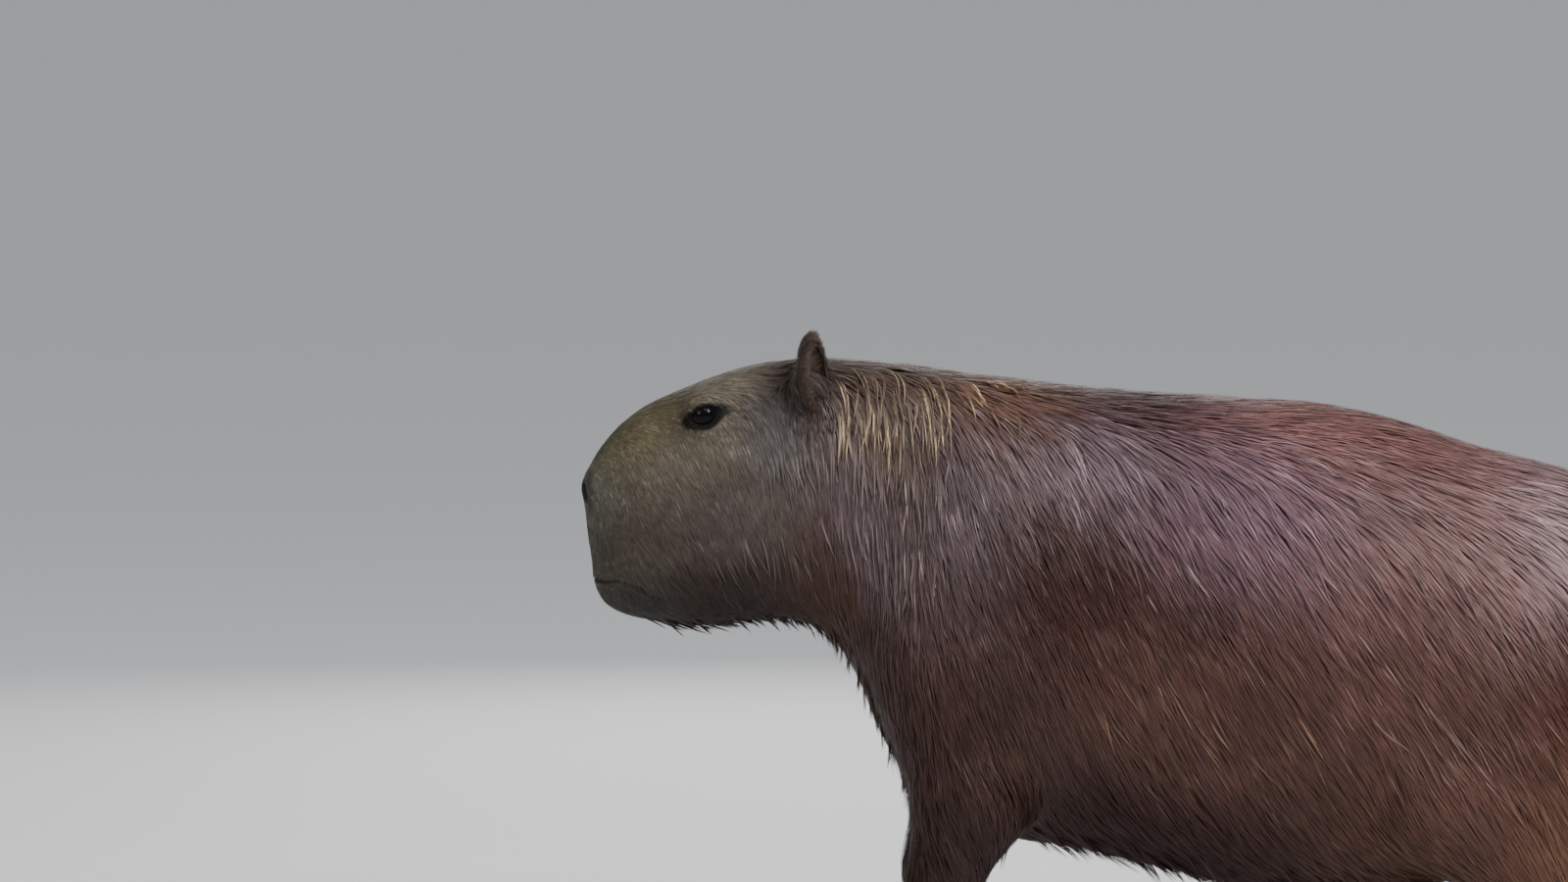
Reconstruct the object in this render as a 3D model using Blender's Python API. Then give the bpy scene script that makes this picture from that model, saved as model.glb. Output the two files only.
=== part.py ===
"""A life-size standing capybara, in metres, +Z up, head towards -X, its left side towards -Y.

The whole animal is one field of distance, blended from named masses: a trunk drawn by its top line,
under line and half width, then the shoulders, thighs, limbs and toes. Each body part is the surface of
that field inside its own box, so that neighbours meet on flat cuts. The feet rest on z = 0.
"""

import math

import bmesh
import bpy
import numpy as np
import openvdb
from mathutils import Matrix, Vector

GAP = 0.0003
CURVE_STEPS = 800

# The trunk's lines, nose to rump: (x, height) and (x, half width), coat included.
TOP_LINE = (
    (-0.575, 0.500),
    (-0.545, 0.530),
    (-0.505, 0.566),
    (-0.456, 0.590),
    (-0.387, 0.613),
    (-0.340, 0.618),
    (-0.256, 0.614),
    (-0.179, 0.603),
    (-0.086, 0.592),
    (0.060, 0.581),
    (0.143, 0.575),
    (0.205, 0.562),
    (0.309, 0.526),
    (0.379, 0.493),
    (0.450, 0.452),
)
UNDER_LINE = (
    (-0.575, 0.384),
    (-0.532, 0.380),
    (-0.501, 0.370),
    (-0.456, 0.362),
    (-0.387, 0.368),
    (-0.352, 0.366),
    (-0.320, 0.350),
    (-0.296, 0.318),
    (-0.272, 0.262),
    (-0.240, 0.205),
    (-0.190, 0.172),
    (-0.076, 0.147),
    (0.100, 0.108),
    (0.200, 0.106),
    (0.290, 0.132),
    (0.450, 0.250),
)
HALF_WIDTH = (
    (-0.575, 0.052),
    (-0.530, 0.056),
    (-0.490, 0.061),
    (-0.443, 0.069),
    (-0.400, 0.077),
    (-0.350, 0.084),
    (-0.300, 0.092),
    (-0.240, 0.110),
    (-0.160, 0.131),
    (-0.040, 0.148),
    (0.110, 0.162),
    (0.220, 0.161),
    (0.330, 0.145),
    (0.450, 0.118),
)
WIDEST_HEIGHT = (
    (-0.575, 0.450),
    (-0.480, 0.452),
    (-0.390, 0.455),
    (-0.320, 0.470),
    (-0.250, 0.445),
    (-0.160, 0.405),
    (0.000, 0.370),
    (0.150, 0.350),
    (0.300, 0.350),
    (0.450, 0.350),
)
SQUARENESS = ((-0.575, 2.9), (-0.450, 2.7), (-0.330, 2.4), (-0.200, 2.3), (0.450, 2.3))

# The muzzle's blunt front: (height, x) on the midline, and how it rounds off to the sides.
MUZZLE_FRONT = ((0.370, -0.534), (0.398, -0.543), (0.438, -0.551), (0.487, -0.5565), (0.560, -0.553))
MUZZLE_ROUND = 0.055
MUZZLE_BLEND = 0.034
TRUNK_END = 0.40
TRUNK_END_ROUND = 0.060

# Masses blended on to the trunk, on both sides: centre (x, distance from the midline, z), radii, blend.
BODY_MASSES = {
    "rump": ((0.352, 0.0, 0.322), (0.203, 0.138, 0.186), 0.050),
    "hamstrings": ((0.418, 0.072, 0.255), (0.122, 0.072, 0.140), 0.040),
    "thigh": ((0.315, 0.101, 0.262), (0.118, 0.067, 0.140), 0.045),
    "shoulder": ((-0.172, 0.078, 0.350), (0.098, 0.064, 0.150), 0.050),
}

# The eye ball, its lids and the slit between them, as half length and half height, rising to the rear.
EYE = (-0.4400, 0.0495, 0.5655)
EYE_RADIUS = 0.0140
LID_THICKNESS = 0.0024
LID_OPENING = (0.0138, 0.0096)
LID_OPENING_DEPTH = 0.0200
LID_TILT = math.radians(20)

# The ear: a cup that opens outwards and to the rear, cut from the head just above its root.
EAR_ROOT = (-0.3360, 0.0620, 0.5800)
EAR_TIP = (-0.3410, 0.0785, 0.6310)
EAR_CENTRE = 0.40
EAR_RADII = (0.0245, 0.0135, 0.0360)
EAR_CUP_RADII = (0.0200, 0.0180, 0.0310)
EAR_CUP_SHIFT = (0.0, 0.0090, 0.0025)
EAR_OPENS_REARWARDS = math.radians(68)
EAR_CUT_LEAN = math.radians(38.5)
EAR_CUT_HEIGHT = 0.0070
EAR_BOX = (0.080, 0.080, 0.090)

# The nostrils and the line of the mouth, both pressed into the muzzle's surface.
NOSTRIL = (-0.5500, 0.0215, 0.4920)
NOSTRIL_RADII = (0.0100, 0.0042, 0.0085)
NOSTRIL_TURN = math.radians(-38)
NOSTRIL_LEAN = math.radians(24)
MOUTH_LINE = (
    (-0.484, 0.060, 0.390), (-0.505, 0.056, 0.397), (-0.528, 0.045, 0.403), (-0.543, 0.024, 0.407),
)
MOUTH_MIDDLE = (-0.548, 0.0, 0.409)
MOUTH_STEPS = 21
MOUTH_GROOVE = 0.0030
MOUTH_CORNER = 0.4
MOUTH_OPENS = 3.0
MOUTH_SIDES = 6

# Each limb, top to bottom: (x, y, z, radius), y being the distance from the midline.
FRONT_LIMB = (
    (-0.205, 0.080, 0.330, 0.070),
    (-0.190, 0.094, 0.208, 0.055),
    (-0.220, 0.092, 0.122, 0.031),
    (-0.229, 0.091, 0.058, 0.026),
)
HIND_LIMB = (
    (0.262, 0.106, 0.215, 0.071),
    (0.400, 0.102, 0.112, 0.035),
    (0.345, 0.102, 0.036, 0.026),
)
LIMB_BLEND = 0.030
JOINT_BLEND = 0.022
ANKLE_BLEND = 0.014
HEEL = (0.004, 0.019, 0.021)  # behind the last joint, height, radius

# Each toe's tip: distance across from the limb's end, and how far ahead it reaches.
FRONT_TOES = ((-0.032, 0.062), (-0.011, 0.080), (0.012, 0.078), (0.033, 0.058))
HIND_TOES = ((-0.029, 0.074), (0.001, 0.092), (0.030, 0.070))
TOE_BLEND = 0.0080
# Heights and radii of a toe's joints, and their shares of the toe's reach and spread.
PALM = (0.0270, 0.0190, 0.15, 0.45)
KNUCKLE = (0.0210, 0.0121, 0.62, 0.88)
TOE_TIP = (0.0096, 0.0101, 1.0, 1.0)
CLAW_LENGTH = 0.0190
CLAW_ROOT = 0.0060
CLAW_RADII = (0.0066, 0.0064, 0.0050, 0.0022)
CLAW_HEIGHTS = (0.0115, 0.0115, 0.0090, 0.0048)
CLAW_SHARES = (0.35, 0.72, 1.0)
CLAW_SIDES = 6
SOLE = 0.0010
FLOOR_BOX = ((0.0, 0.0, SOLE - 0.5), (2.0, 2.0, 1.0), 0.0, 0.0)
LIMB_SHIFT = {"front_left": 0.0, "front_right": 0.004, "hind_left": 0.012, "hind_right": -0.030}

# Where the body is parted. The head and the neck end on planes given by a point and a lean about Y.
HEAD_END = ((-0.325, 0.0, 0.490), 0.197)
NECK_END = ((-0.235, 0.0, 0.470), 0.2525)
END_BOX = (0.5, 0.6, 0.6)
BODY_LIMITS = ((-0.62, -0.25, -0.02), (0.60, 0.25, 0.68))
TORSO_LIMITS = ((-0.33, -0.25, 0.075), (0.60, 0.25, 0.68))
BOX_MARGIN = 0.012
BAND = 3  # the field is kept this many steps either side of its surface
SLOPE_STEP = 0.0005
SETTLE_ROUNDS = 8
# Feet and lower limbs are upright boxes: (lowest x, distance from the midline, z), then the highest.
LIMB_BOXES = {
    "front_foot": ((-0.345, 0.018, -0.050), (-0.170, 0.175, 0.062)),
    "front_lower": ((-0.290, 0.030, 0.062), (-0.150, 0.175, 0.158)),
    "hind_foot": ((0.205, 0.018, -0.050), (0.420, 0.185, 0.058)),
    "hind_lower": ((0.300, 0.030, 0.058), (0.480, 0.185, 0.122)),
}
# Upper limbs are boxes whose inner face leans outwards: inner lower edge (x, y, z), size, lean.
UPPER_BOXES = {
    "front": ((-0.185, 0.036, 0.150), (0.160, 0.170, 0.205), math.radians(20)),
    "hind": ((0.335, 0.042, 0.100), (0.260, 0.200, 0.270), math.radians(17)),
}

# How finely each kind of part is made: the field's step and the number of triangles that stay.
DETAIL = {
    "head": (0.0028, 2150),
    "neck": (0.0090, 400),
    "torso": (0.0120, 1700),
    "upper": (0.0080, 190),
    "lower": (0.0060, 120),
    "foot": (0.0030, 250),
}

# The wet coat's locks, in rows on each side of the body. A row runs between two roots, each (x, level),
# level being the share of the trunk's height; then the number of locks, their length and half width,
# and how far their tips stand off.
LOCK_ROWS = {
    "nape crest": ((-0.318, 0.985), (-0.175, 0.975), 6, 0.090, 0.0125, 0.004),
    "nape": ((-0.300, 0.800), (-0.185, 0.830), 3, 0.095, 0.0165, 0.003),
    "neck": ((-0.325, 0.480), (-0.225, 0.560), 3, 0.095, 0.0180, 0.003),
    "throat": ((-0.465, 0.050), (-0.335, 0.050), 4, 0.042, 0.0090, 0.008),
    "chest": ((-0.295, 0.030), (-0.252, 0.060), 2, 0.065, 0.0130, 0.009),
    "back": ((-0.120, 0.960), (0.340, 0.950), 4, 0.150, 0.0230, 0.003),
    "upper flank": ((-0.140, 0.780), (0.330, 0.790), 5, 0.145, 0.0240, 0.003),
    "middle flank": ((-0.130, 0.540), (0.300, 0.560), 4, 0.150, 0.0260, 0.003),
    "lower flank": ((-0.080, 0.270), (0.200, 0.290), 4, 0.120, 0.0230, 0.004),
    "belly": ((-0.100, 0.035), (0.240, 0.035), 4, 0.075, 0.0170, 0.012),
    "shoulder": ((-0.235, 0.400), (-0.150, 0.330), 2, 0.095, 0.0200, 0.003),
    "rump": ((0.455, 0.780), (0.480, 0.380), 3, 0.120, 0.0220, 0.004),
    "thigh": ((0.250, 0.430), (0.400, 0.420), 2, 0.110, 0.0220, 0.003),
}
# Along a lock, root to tip: share of the length, depth under the surface, share of width and thickness.
LOCK_PROFILE = (
    (0.0, -0.0085, 0.5),
    (0.25, -0.0028, 0.95),
    (0.58, 0.0004, 1.0),
    (0.83, 0.0012, 0.6),
    (1.0, 0.0008, 0.07),
)
LOCK_THICKNESS = 0.0048
LOCK_STEPS = 12
LOCK_SWAY = math.radians(9)
# How far a root strays along its row and across it, and the spread of the sizes.
LOCK_STRAY = 0.18
LOCK_LEVEL_STRAY = 0.012
LOCK_VARIETY = (0.86, 1.14)
LOCK_SEED = 7
# The section on which roots start out, before they are moved on to the surface.
SECTION_POWER = 2.3
SECTION_LEAST = 0.15
TIP_THICKNESS = 0.12
# How steeply the hair runs down from the rearward direction: along x, on the flank and near the back.
LIE_FLANK = ((-0.56, 80), (-0.32, 78), (-0.20, 66), (-0.05, 52), (0.20, 50), (0.40, 62), (0.56, 78))
LIE_BACK = ((-0.56, 20), (-0.34, 30), (-0.26, 62), (-0.15, 34), (0.10, 14), (0.56, 30))
BACK_LEVELS = (0.72, 0.98)

# Colour and roughness of each finish.
FINISHES = {
    "coat": ((0.150, 0.078, 0.050), 0.55),
    "face": ((0.130, 0.092, 0.062), 0.60),
    "bare_skin": ((0.050, 0.038, 0.034), 0.65),
    "eye": ((0.006, 0.005, 0.005), 0.06),
    "claw": ((0.045, 0.036, 0.030), 0.40),
}


def smooth_curve(points):
    """A function through the points, each slope taken from its neighbours."""
    xs, ys = np.array(points, float).T
    slopes = np.gradient(ys, xs)
    fine = np.linspace(xs[0], xs[-1], CURVE_STEPS)
    k = np.clip(np.searchsorted(xs, fine) - 1, 0, len(xs) - 2)
    step = xs[k + 1] - xs[k]
    t = (fine - xs[k]) / step
    value = (1 + 2 * t) * (1 - t) ** 2 * ys[k] + t * (1 - t) ** 2 * step * slopes[k]
    value += t * t * (3 - 2 * t) * ys[k + 1] + t * t * (t - 1) * step * slopes[k + 1]
    return lambda x: np.interp(x, fine, value)


top_line = smooth_curve(TOP_LINE)
under_line = smooth_curve(UNDER_LINE)
half_width = smooth_curve(HALF_WIDTH)
widest_height = smooth_curve(WIDEST_HEIGHT)
squareness = smooth_curve(SQUARENESS)
muzzle_front = smooth_curve(MUZZLE_FRONT)


def blend(a, b, reach):
    """The union of two fields, rounded where they meet."""
    h = np.clip(0.5 + 0.5 * (b - a) / reach, 0, 1)
    return b + (a - b) * h - reach * h * (1 - h)


def trunk_field(x, y, z):
    """Head, neck and trunk: sections across X between the top line and the under line."""
    middle, width, power = widest_height(x), half_width(x), squareness(x)
    height = np.where(z > middle, top_line(x) - middle, middle - under_line(x))
    across, up = np.abs(y) / width, np.abs(z - middle) / height
    level = (across**power + up**power) ** (1 / power)
    steep = np.sqrt((across / width) ** 2 + (up / height) ** 2) + 1e-6
    section = level * (level - 1) / steep
    front = muzzle_front(z) + y * y / (2 * MUZZLE_ROUND) - x
    section = -blend(-section, -front, MUZZLE_BLEND)
    return -blend(-section, -(x - TRUNK_END), TRUNK_END_ROUND)


def ellipsoid_field(x, y, z, centre, radii):
    dx, dy, dz = x - centre[0], y - centre[1], z - centre[2]
    level = np.sqrt((dx / radii[0]) ** 2 + (dy / radii[1]) ** 2 + (dz / radii[2]) ** 2)
    steep = np.sqrt((dx / radii[0] ** 2) ** 2 + (dy / radii[1] ** 2) ** 2 + (dz / radii[2] ** 2) ** 2)
    return level * (level - 1) / (steep + 1e-6)


def bone_field(x, y, z, a, b):
    """A rounded cone between two joints, each (x, y, z, radius)."""
    along = np.subtract(b[:3], a[:3])
    dx, dy, dz = x - a[0], y - a[1], z - a[2]
    t = np.clip((dx * along[0] + dy * along[1] + dz * along[2]) / (along @ along), 0, 1)
    away = np.sqrt((dx - t * along[0]) ** 2 + (dy - t * along[1]) ** 2 + (dz - t * along[2]) ** 2)
    return away - (a[3] + (b[3] - a[3]) * t)


def swell(x, y, z, centre, radius, height):
    """How far a soft mound at centre lifts the surface; a negative height is a hollow."""
    away = (x - centre[0]) ** 2 + (y - centre[1]) ** 2 + (z - centre[2]) ** 2
    return height * np.exp(-away / radius**2)


# Mounds and hollows of the head, on both sides: (x, y, z), radius, height.
HEAD_FORMS = {
    "brow": ((-0.4430, 0.050, 0.576), 0.024, 0.0085),
    "hollow before the eye": ((-0.472, 0.058, 0.554), 0.020, -0.0025),
    "cheekbone": ((-0.425, 0.070, 0.532), 0.030, 0.0040),
    "jaw muscle": ((-0.385, 0.078, 0.440), 0.055, 0.0060),
    "whisker pad": ((-0.528, 0.050, 0.450), 0.026, 0.0055),
    "nostril wing": ((-0.550, 0.026, 0.496), 0.016, 0.0050),
    "nose pad": ((-0.556, 0.0, 0.500), 0.016, 0.0020),
    "upper lip": ((-0.530, 0.046, 0.419), 0.014, 0.0035),
    "lower lip": ((-0.520, 0.042, 0.392), 0.018, -0.0075),
    "temple": ((-0.385, 0.062, 0.580), 0.030, -0.0040),
    "ear base": ((-0.336, 0.062, 0.580), 0.024, 0.0040),
}
PHILTRUM_WIDTH = 0.0055
PHILTRUM_DEPTH = 0.0028
PHILTRUM_ENDS = (0.412, 0.490)
PHILTRUM_FADE = (0.008, 0.012)
PHILTRUM_BEHIND = -0.52


def head_forms(x, side, z):
    """The sum of the head's mounds at a point, side being the distance from the midline."""
    low, high = PHILTRUM_ENDS
    fade = np.clip((z - low) / PHILTRUM_FADE[0], 0, 1) * np.clip((high - z) / PHILTRUM_FADE[1], 0, 1)
    total = -PHILTRUM_DEPTH * np.exp(-((side / PHILTRUM_WIDTH) ** 2)) * fade * (x < PHILTRUM_BEHIND)
    for centre, radius, height in HEAD_FORMS.values():
        total = total + swell(x, side, z, centre, radius, height)
    return total


def toe_joints(limb, toes, shift):
    """Each toe's palm, knuckle and tip, the toes fanned out ahead of the limb's end."""
    end = limb[-1]
    for across, reach in toes:
        yield [
            (end[0] + shift - reach * ahead, end[1] + across * spread, height, radius)
            for height, radius, ahead, spread in (PALM, KNUCKLE, TOE_TIP)
        ]


def limb_field(x, side, z, name):
    """One limb with its toes, side being the distance from the midline."""
    limb, toes = (FRONT_LIMB, FRONT_TOES) if name.startswith("front") else (HIND_LIMB, HIND_TOES)
    shift = LIMB_SHIFT[name]
    shares = np.linspace(0, 1, len(limb))
    joints = [(joint[0] + shift * share, *joint[1:]) for joint, share in zip(limb, shares)]
    leg = bone_field(x, side, z, joints[0], joints[1])
    for a, b in zip(joints[1:], joints[2:]):
        leg = blend(leg, bone_field(x, side, z, a, b), JOINT_BLEND)
    foot = bone_field(x, side, z, joints[-1], (joints[-1][0] + HEEL[0], joints[-1][1], *HEEL[1:]))
    for palm, knuckle, tip in toe_joints(limb, toes, shift):
        toe = np.minimum(bone_field(x, side, z, palm, knuckle), bone_field(x, side, z, knuckle, tip))
        foot = blend(foot, toe, TOE_BLEND)
    return blend(leg, foot, ANKLE_BLEND)


def body_field(x, y, z):
    """The whole animal's field, negative inside."""
    side = np.abs(y)
    found = trunk_field(x, y, z) - head_forms(x, side, z)
    for centre, radii, reach in BODY_MASSES.values():
        found = blend(found, ellipsoid_field(x, side, z, centre, radii), reach)
    for name in LIMB_SHIFT:
        away = -1 if name.endswith("left") else 1
        found = blend(found, limb_field(x, y * away, z, name), LIMB_BLEND)
    return found


def polygons(field, low, high, voxel):
    """The mesh of a field's surface inside a box, closed by the box's own sides."""
    axes = [np.arange(lo, hi + voxel, voxel) for lo, hi in zip(low, high)]
    x, y, z = np.meshgrid(*axes, indexing="ij")
    values = np.clip(field(x, y, z), -BAND * voxel, BAND * voxel)
    for axis in range(3):
        ends = [slice(None)] * 3
        ends[axis] = [0, -1]
        values[tuple(ends)] = voxel
    grid = openvdb.FloatGrid(BAND * voxel)
    grid.copyFromArray(values.astype(np.float32))
    points, triangles, quads = grid.convertToPolygons(0.0, 0.0)
    points = points * voxel + np.array([axis[0] for axis in axes])
    faces = [tuple(int(i) for i in face) for face in [*triangles, *quads]]
    mesh = bpy.data.meshes.new("field")
    mesh.from_pydata(points.tolist(), [], faces)
    return mesh


def add_object(name, mesh, collection):
    made = bpy.data.objects.new(name, mesh)
    collection.objects.link(made)
    return made


def modify(obj, kind, **settings):
    """Adds a modifier and applies it to the object's own mesh."""
    modifier = obj.modifiers.new(kind.lower(), kind)
    for key, value in settings.items():
        setattr(modifier, key, value)
    graph = bpy.context.evaluated_depsgraph_get()
    made = bpy.data.meshes.new_from_object(obj.evaluated_get(graph))
    old = obj.data
    obj.modifiers.clear()
    obj.data = made
    bpy.data.meshes.remove(old)
    return obj


def largest_surface(obj):
    """Keeps only the object's largest closed surface."""
    shape = bmesh.new()
    shape.from_mesh(obj.data)
    left, groups = set(shape.verts), []
    while left:
        group, front = set(), [left.pop()]
        while front:
            vertex = front.pop()
            group.add(vertex)
            for edge in vertex.link_edges:
                other = edge.other_vert(vertex)
                if other in left:
                    left.discard(other)
                    front.append(other)
        groups.append(group)
    groups.sort(key=len)
    loose = [vertex for group in groups[:-1] for vertex in group]
    bmesh.ops.delete(shape, geom=loose, context="VERTS")
    shape.to_mesh(obj.data)
    shape.free()


def boolean(obj, other, operation, solver="EXACT"):
    """Cuts or joins another object into this one and removes it."""
    modify(obj, "BOOLEAN", object=other, operation=operation, solver=solver)
    bpy.data.objects.remove(other)


def box_object(name, box, grow=0.0):
    """A box as (centre, full size, turn about Y, turn about X), larger by grow on each side."""
    centre, size, about_y, about_x = box
    bpy.ops.mesh.primitive_cube_add(size=1)
    made = bpy.context.object
    made.name = name
    turn = Matrix.Rotation(about_y, 4, "Y") @ Matrix.Rotation(about_x, 4, "X")
    scale = Matrix.Diagonal([side + 2 * grow for side in size] + [1])
    made.matrix_world = Matrix.Translation(centre) @ turn @ scale
    return made


def ball(name, centre, radii, segments, rings, turn=None):
    """An ellipsoid from a sphere primitive."""
    bpy.ops.mesh.primitive_uv_sphere_add(segments=segments, ring_count=rings, radius=1)
    made = bpy.context.object
    made.name = name
    turn = turn or Matrix.Identity(4)
    made.data.transform(Matrix.Translation(centre) @ turn @ Matrix.Diagonal([*radii, 1]))
    return made


def loft(name, sections, collection):
    """A closed body through sections with like numbers of points."""
    shape = bmesh.new()
    rings = [[shape.verts.new(place) for place in section] for section in sections]
    for ring, following in zip(rings, rings[1:]):
        for side in range(len(ring)):
            other = (side + 1) % len(ring)
            shape.faces.new((ring[side], ring[other], following[other], following[side]))
    shape.faces.new(reversed(rings[0]))
    shape.faces.new(rings[-1])
    mesh = bpy.data.meshes.new(name)
    shape.to_mesh(mesh)
    shape.free()
    return add_object(name, mesh, collection)


def tube(name, path, radii, sides):
    """A closed tube through a path's points, with a radius at each."""
    sections = []
    for k, (point, radius) in enumerate(zip(path, radii)):
        ahead = Vector(path[min(k + 1, len(path) - 1)]) - Vector(path[max(k - 1, 0)])
        turn = ahead.to_track_quat("Z", "Y").to_matrix()
        angles = [2 * math.pi * side / sides for side in range(sides)]
        ring = [(math.cos(angle), math.sin(angle)) for angle in angles]
        sections.append([Vector(point) + turn @ Vector((*place, 0)) * radius for place in ring])
    return loft(name, sections, bpy.context.scene.collection)


def slope(points):
    """The field and its gradient at an array of points."""
    here = body_field(*points.T)
    ahead = [body_field(*(points + SLOPE_STEP * axis).T) for axis in np.eye(3)]
    return here, (np.stack(ahead, axis=1) - here[:, None]) / SLOPE_STEP


def on_surface(points):
    """The points moved along the field's gradient to the body's surface."""
    points = np.array(points, float)
    for _ in range(SETTLE_ROUNDS):
        value, gradient = slope(points)
        points -= value[:, None] * gradient / (gradient**2).sum(axis=1)[:, None]
    return points


def lie(points, normals):
    """The direction in which the hair lies at points of the surface."""
    x, y, z = points.T
    level = (z - under_line(x)) / (top_line(x) - under_line(x))
    flank, back = (np.interp(x, *np.array(row).T) for row in (LIE_FLANK, LIE_BACK))
    share = np.clip((level - BACK_LEVELS[0]) / (BACK_LEVELS[1] - BACK_LEVELS[0]), 0, 1)
    down = np.radians(flank + (back - flank) * share)
    way = np.stack([np.cos(down), np.zeros_like(x), -np.sin(down)], axis=1)
    way -= (way * normals).sum(axis=1)[:, None] * normals
    return way / np.linalg.norm(way, axis=1)[:, None]


def lock_roots(chance):
    """The roots of all locks with their length, half width, tip rise and sway."""
    roots, sizes = [], []
    for (x_start, level_start), (x_end, level_end), count, length, width, rise in LOCK_ROWS.values():
        for k in range(count):
            for away in (-1, 1):
                share = (k + 0.5 + chance.uniform(-LOCK_STRAY, LOCK_STRAY)) / count
                x = x_start + (x_end - x_start) * share
                stray = chance.uniform(-LOCK_LEVEL_STRAY, LOCK_LEVEL_STRAY)
                level = level_start + (level_end - level_start) * share + stray
                z = under_line(x) + (top_line(x) - under_line(x)) * level
                fullness = max(SECTION_LEAST, 1 - abs(2 * level - 1) ** SECTION_POWER)
                across = half_width(x) * fullness ** (1 / SECTION_POWER)
                roots.append((x, across * away, z))
                vary = chance.uniform(*LOCK_VARIETY, 2)
                sway = chance.uniform(-LOCK_SWAY, LOCK_SWAY)
                sizes.append((length * vary[0], width * vary[1], rise, sway))
    return np.array(roots), np.array(sizes)


def grow_locks(collection):
    """Flat tapered locks that start in the flesh and run along the lie of the hair to a free tip."""
    chance = np.random.default_rng(LOCK_SEED)
    points, sizes = lock_roots(chance)
    points = on_surface(points)
    lengths, widths, rises, sways = sizes.T
    track = []
    for step in range(LOCK_STEPS + 1):
        gradient = slope(points)[1]
        normals = gradient / np.linalg.norm(gradient, axis=1)[:, None]
        way = lie(points, normals)
        bend = sways * math.sin(2 * math.pi * step / LOCK_STEPS)
        way = way * np.cos(bend)[:, None] + np.cross(normals, way) * np.sin(bend)[:, None]
        track.append((points, normals, way))
        points = on_surface(points + way * (lengths / LOCK_STEPS)[:, None])
    for number in range(len(lengths)):
        sections = []
        for share, depth, fullness in LOCK_PROFILE:
            point, normal, way = (values[number] for values in track[round(share * LOCK_STEPS)])
            centre = Vector(point + normal * (depth + rises[number] * share**4))
            across = Vector(np.cross(normal, way)) * widths[number] * fullness
            thick = Vector(normal) * LOCK_THICKNESS * max(fullness, TIP_THICKNESS)
            sections.append([centre - across, centre - thick, centre + across, centre + thick])
        loft(f"lock_{number}", sections, collection)


def fuse_locks(obj, locks, low, high):
    """Joins the locks that reach a region to the body's surface there."""
    near = bpy.data.collections.new("near")
    bpy.context.scene.collection.children.link(near)
    for lock in locks.objects:
        corners = np.array([vertex.co for vertex in lock.data.vertices])
        if np.all(corners.min(axis=0) < high) and np.all(corners.max(axis=0) > low):
            near.objects.link(lock)
    if near.objects:
        settings = {"operand_type": "COLLECTION", "operation": "UNION", "solver": "MANIFOLD"}
        modify(obj, "BOOLEAN", collection=near, **settings)
    bpy.data.collections.remove(near)


def mirrored(point, away):
    """A point given by its distance from the midline, on one side of the body."""
    return Vector((point[0], point[1] * away, point[2]))


def end_box(end):
    """The box in front of a plane that parts head, neck and torso."""
    point, lean = end
    back = Matrix.Rotation(lean, 3, "Y") @ Vector((END_BOX[0] / 2, 0, 0))
    return Vector(point) - back, END_BOX, lean, 0.0


def limb_box(name, part, away):
    """The box of a foot, a lower limb or an upper limb."""
    kind = name.split("_")[0]
    if part == "upper":
        edge, size, lean = UPPER_BOXES[kind]
        out = Matrix.Rotation(-lean, 3, "X") @ Vector((0, size[1] / 2, size[2] / 2))
        return mirrored(Vector(edge) + out, away), size, 0.0, -lean * away
    low, high = (Vector(corner) for corner in LIMB_BOXES[kind + "_" + part])
    shift = Vector((LIMB_SHIFT[name], 0, 0)) * (1.0 if part == "foot" else 0.5)
    return mirrored((low + high) / 2 + shift, away), high - low, 0.0, 0.0


def flesh_boxes():
    """Each flesh node's box, in the order in which the nodes take their share of the body."""
    boxes = {"head": end_box(HEAD_END), "neck": end_box(NECK_END)}
    for name in LIMB_SHIFT:
        away = -1 if name.endswith("left") else 1
        for part in ("foot", "lower", "upper"):
            boxes[f"{name}_{part}"] = limb_box(name, part, away)
    return boxes


def box_limits(box, margin):
    """The lowest and highest corners of a turned box, with a margin."""
    centre, size, about_y, about_x = box
    turn = Matrix.Rotation(about_y, 3, "Y") @ Matrix.Rotation(about_x, 3, "X")
    half = [sum(abs(turn[row][k]) * size[k] / 2 for k in range(3)) + margin for row in range(3)]
    return np.array(centre) - half, np.array(centre) + half


def flesh(name, low, high, detail, collection):
    """The body's surface inside a box, simplified to its number of triangles."""
    voxel, wanted = DETAIL[detail]
    low, high = np.maximum(low, BODY_LIMITS[0]), np.minimum(high, BODY_LIMITS[1])
    made = add_object(name, polygons(body_field, low, high, voxel), collection)
    modify(made, "TRIANGULATE")
    return modify(made, "DECIMATE", ratio=min(1.0, wanted / len(made.data.polygons)))


def carve(collection, locks):
    """All flesh nodes, parted by thin cuts; each takes its own box from what is left."""
    boxes = flesh_boxes()
    taken = []
    for name, box in boxes.items():
        low, high = box_limits(box, BOX_MARGIN)
        made = flesh(name, low, high, name.split("_")[-1], collection)
        fuse_locks(made, locks, low, high)
        boolean(made, box_object("own", box), "INTERSECT", "MANIFOLD")
        for other in taken:
            other_low, other_high = box_limits(boxes[other], 0.0)
            if np.all(other_low < high) and np.all(other_high > low):
                boolean(made, box_object("other", boxes[other], GAP), "DIFFERENCE", "MANIFOLD")
        taken.append(name)
    torso = flesh("torso", *TORSO_LIMITS, "torso", collection)
    fuse_locks(torso, locks, *TORSO_LIMITS)
    for other in taken[1:]:
        if not other.endswith("foot"):
            boolean(torso, box_object("other", boxes[other], GAP), "DIFFERENCE", "MANIFOLD")
    for made in collection.objects:
        largest_surface(made)


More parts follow.
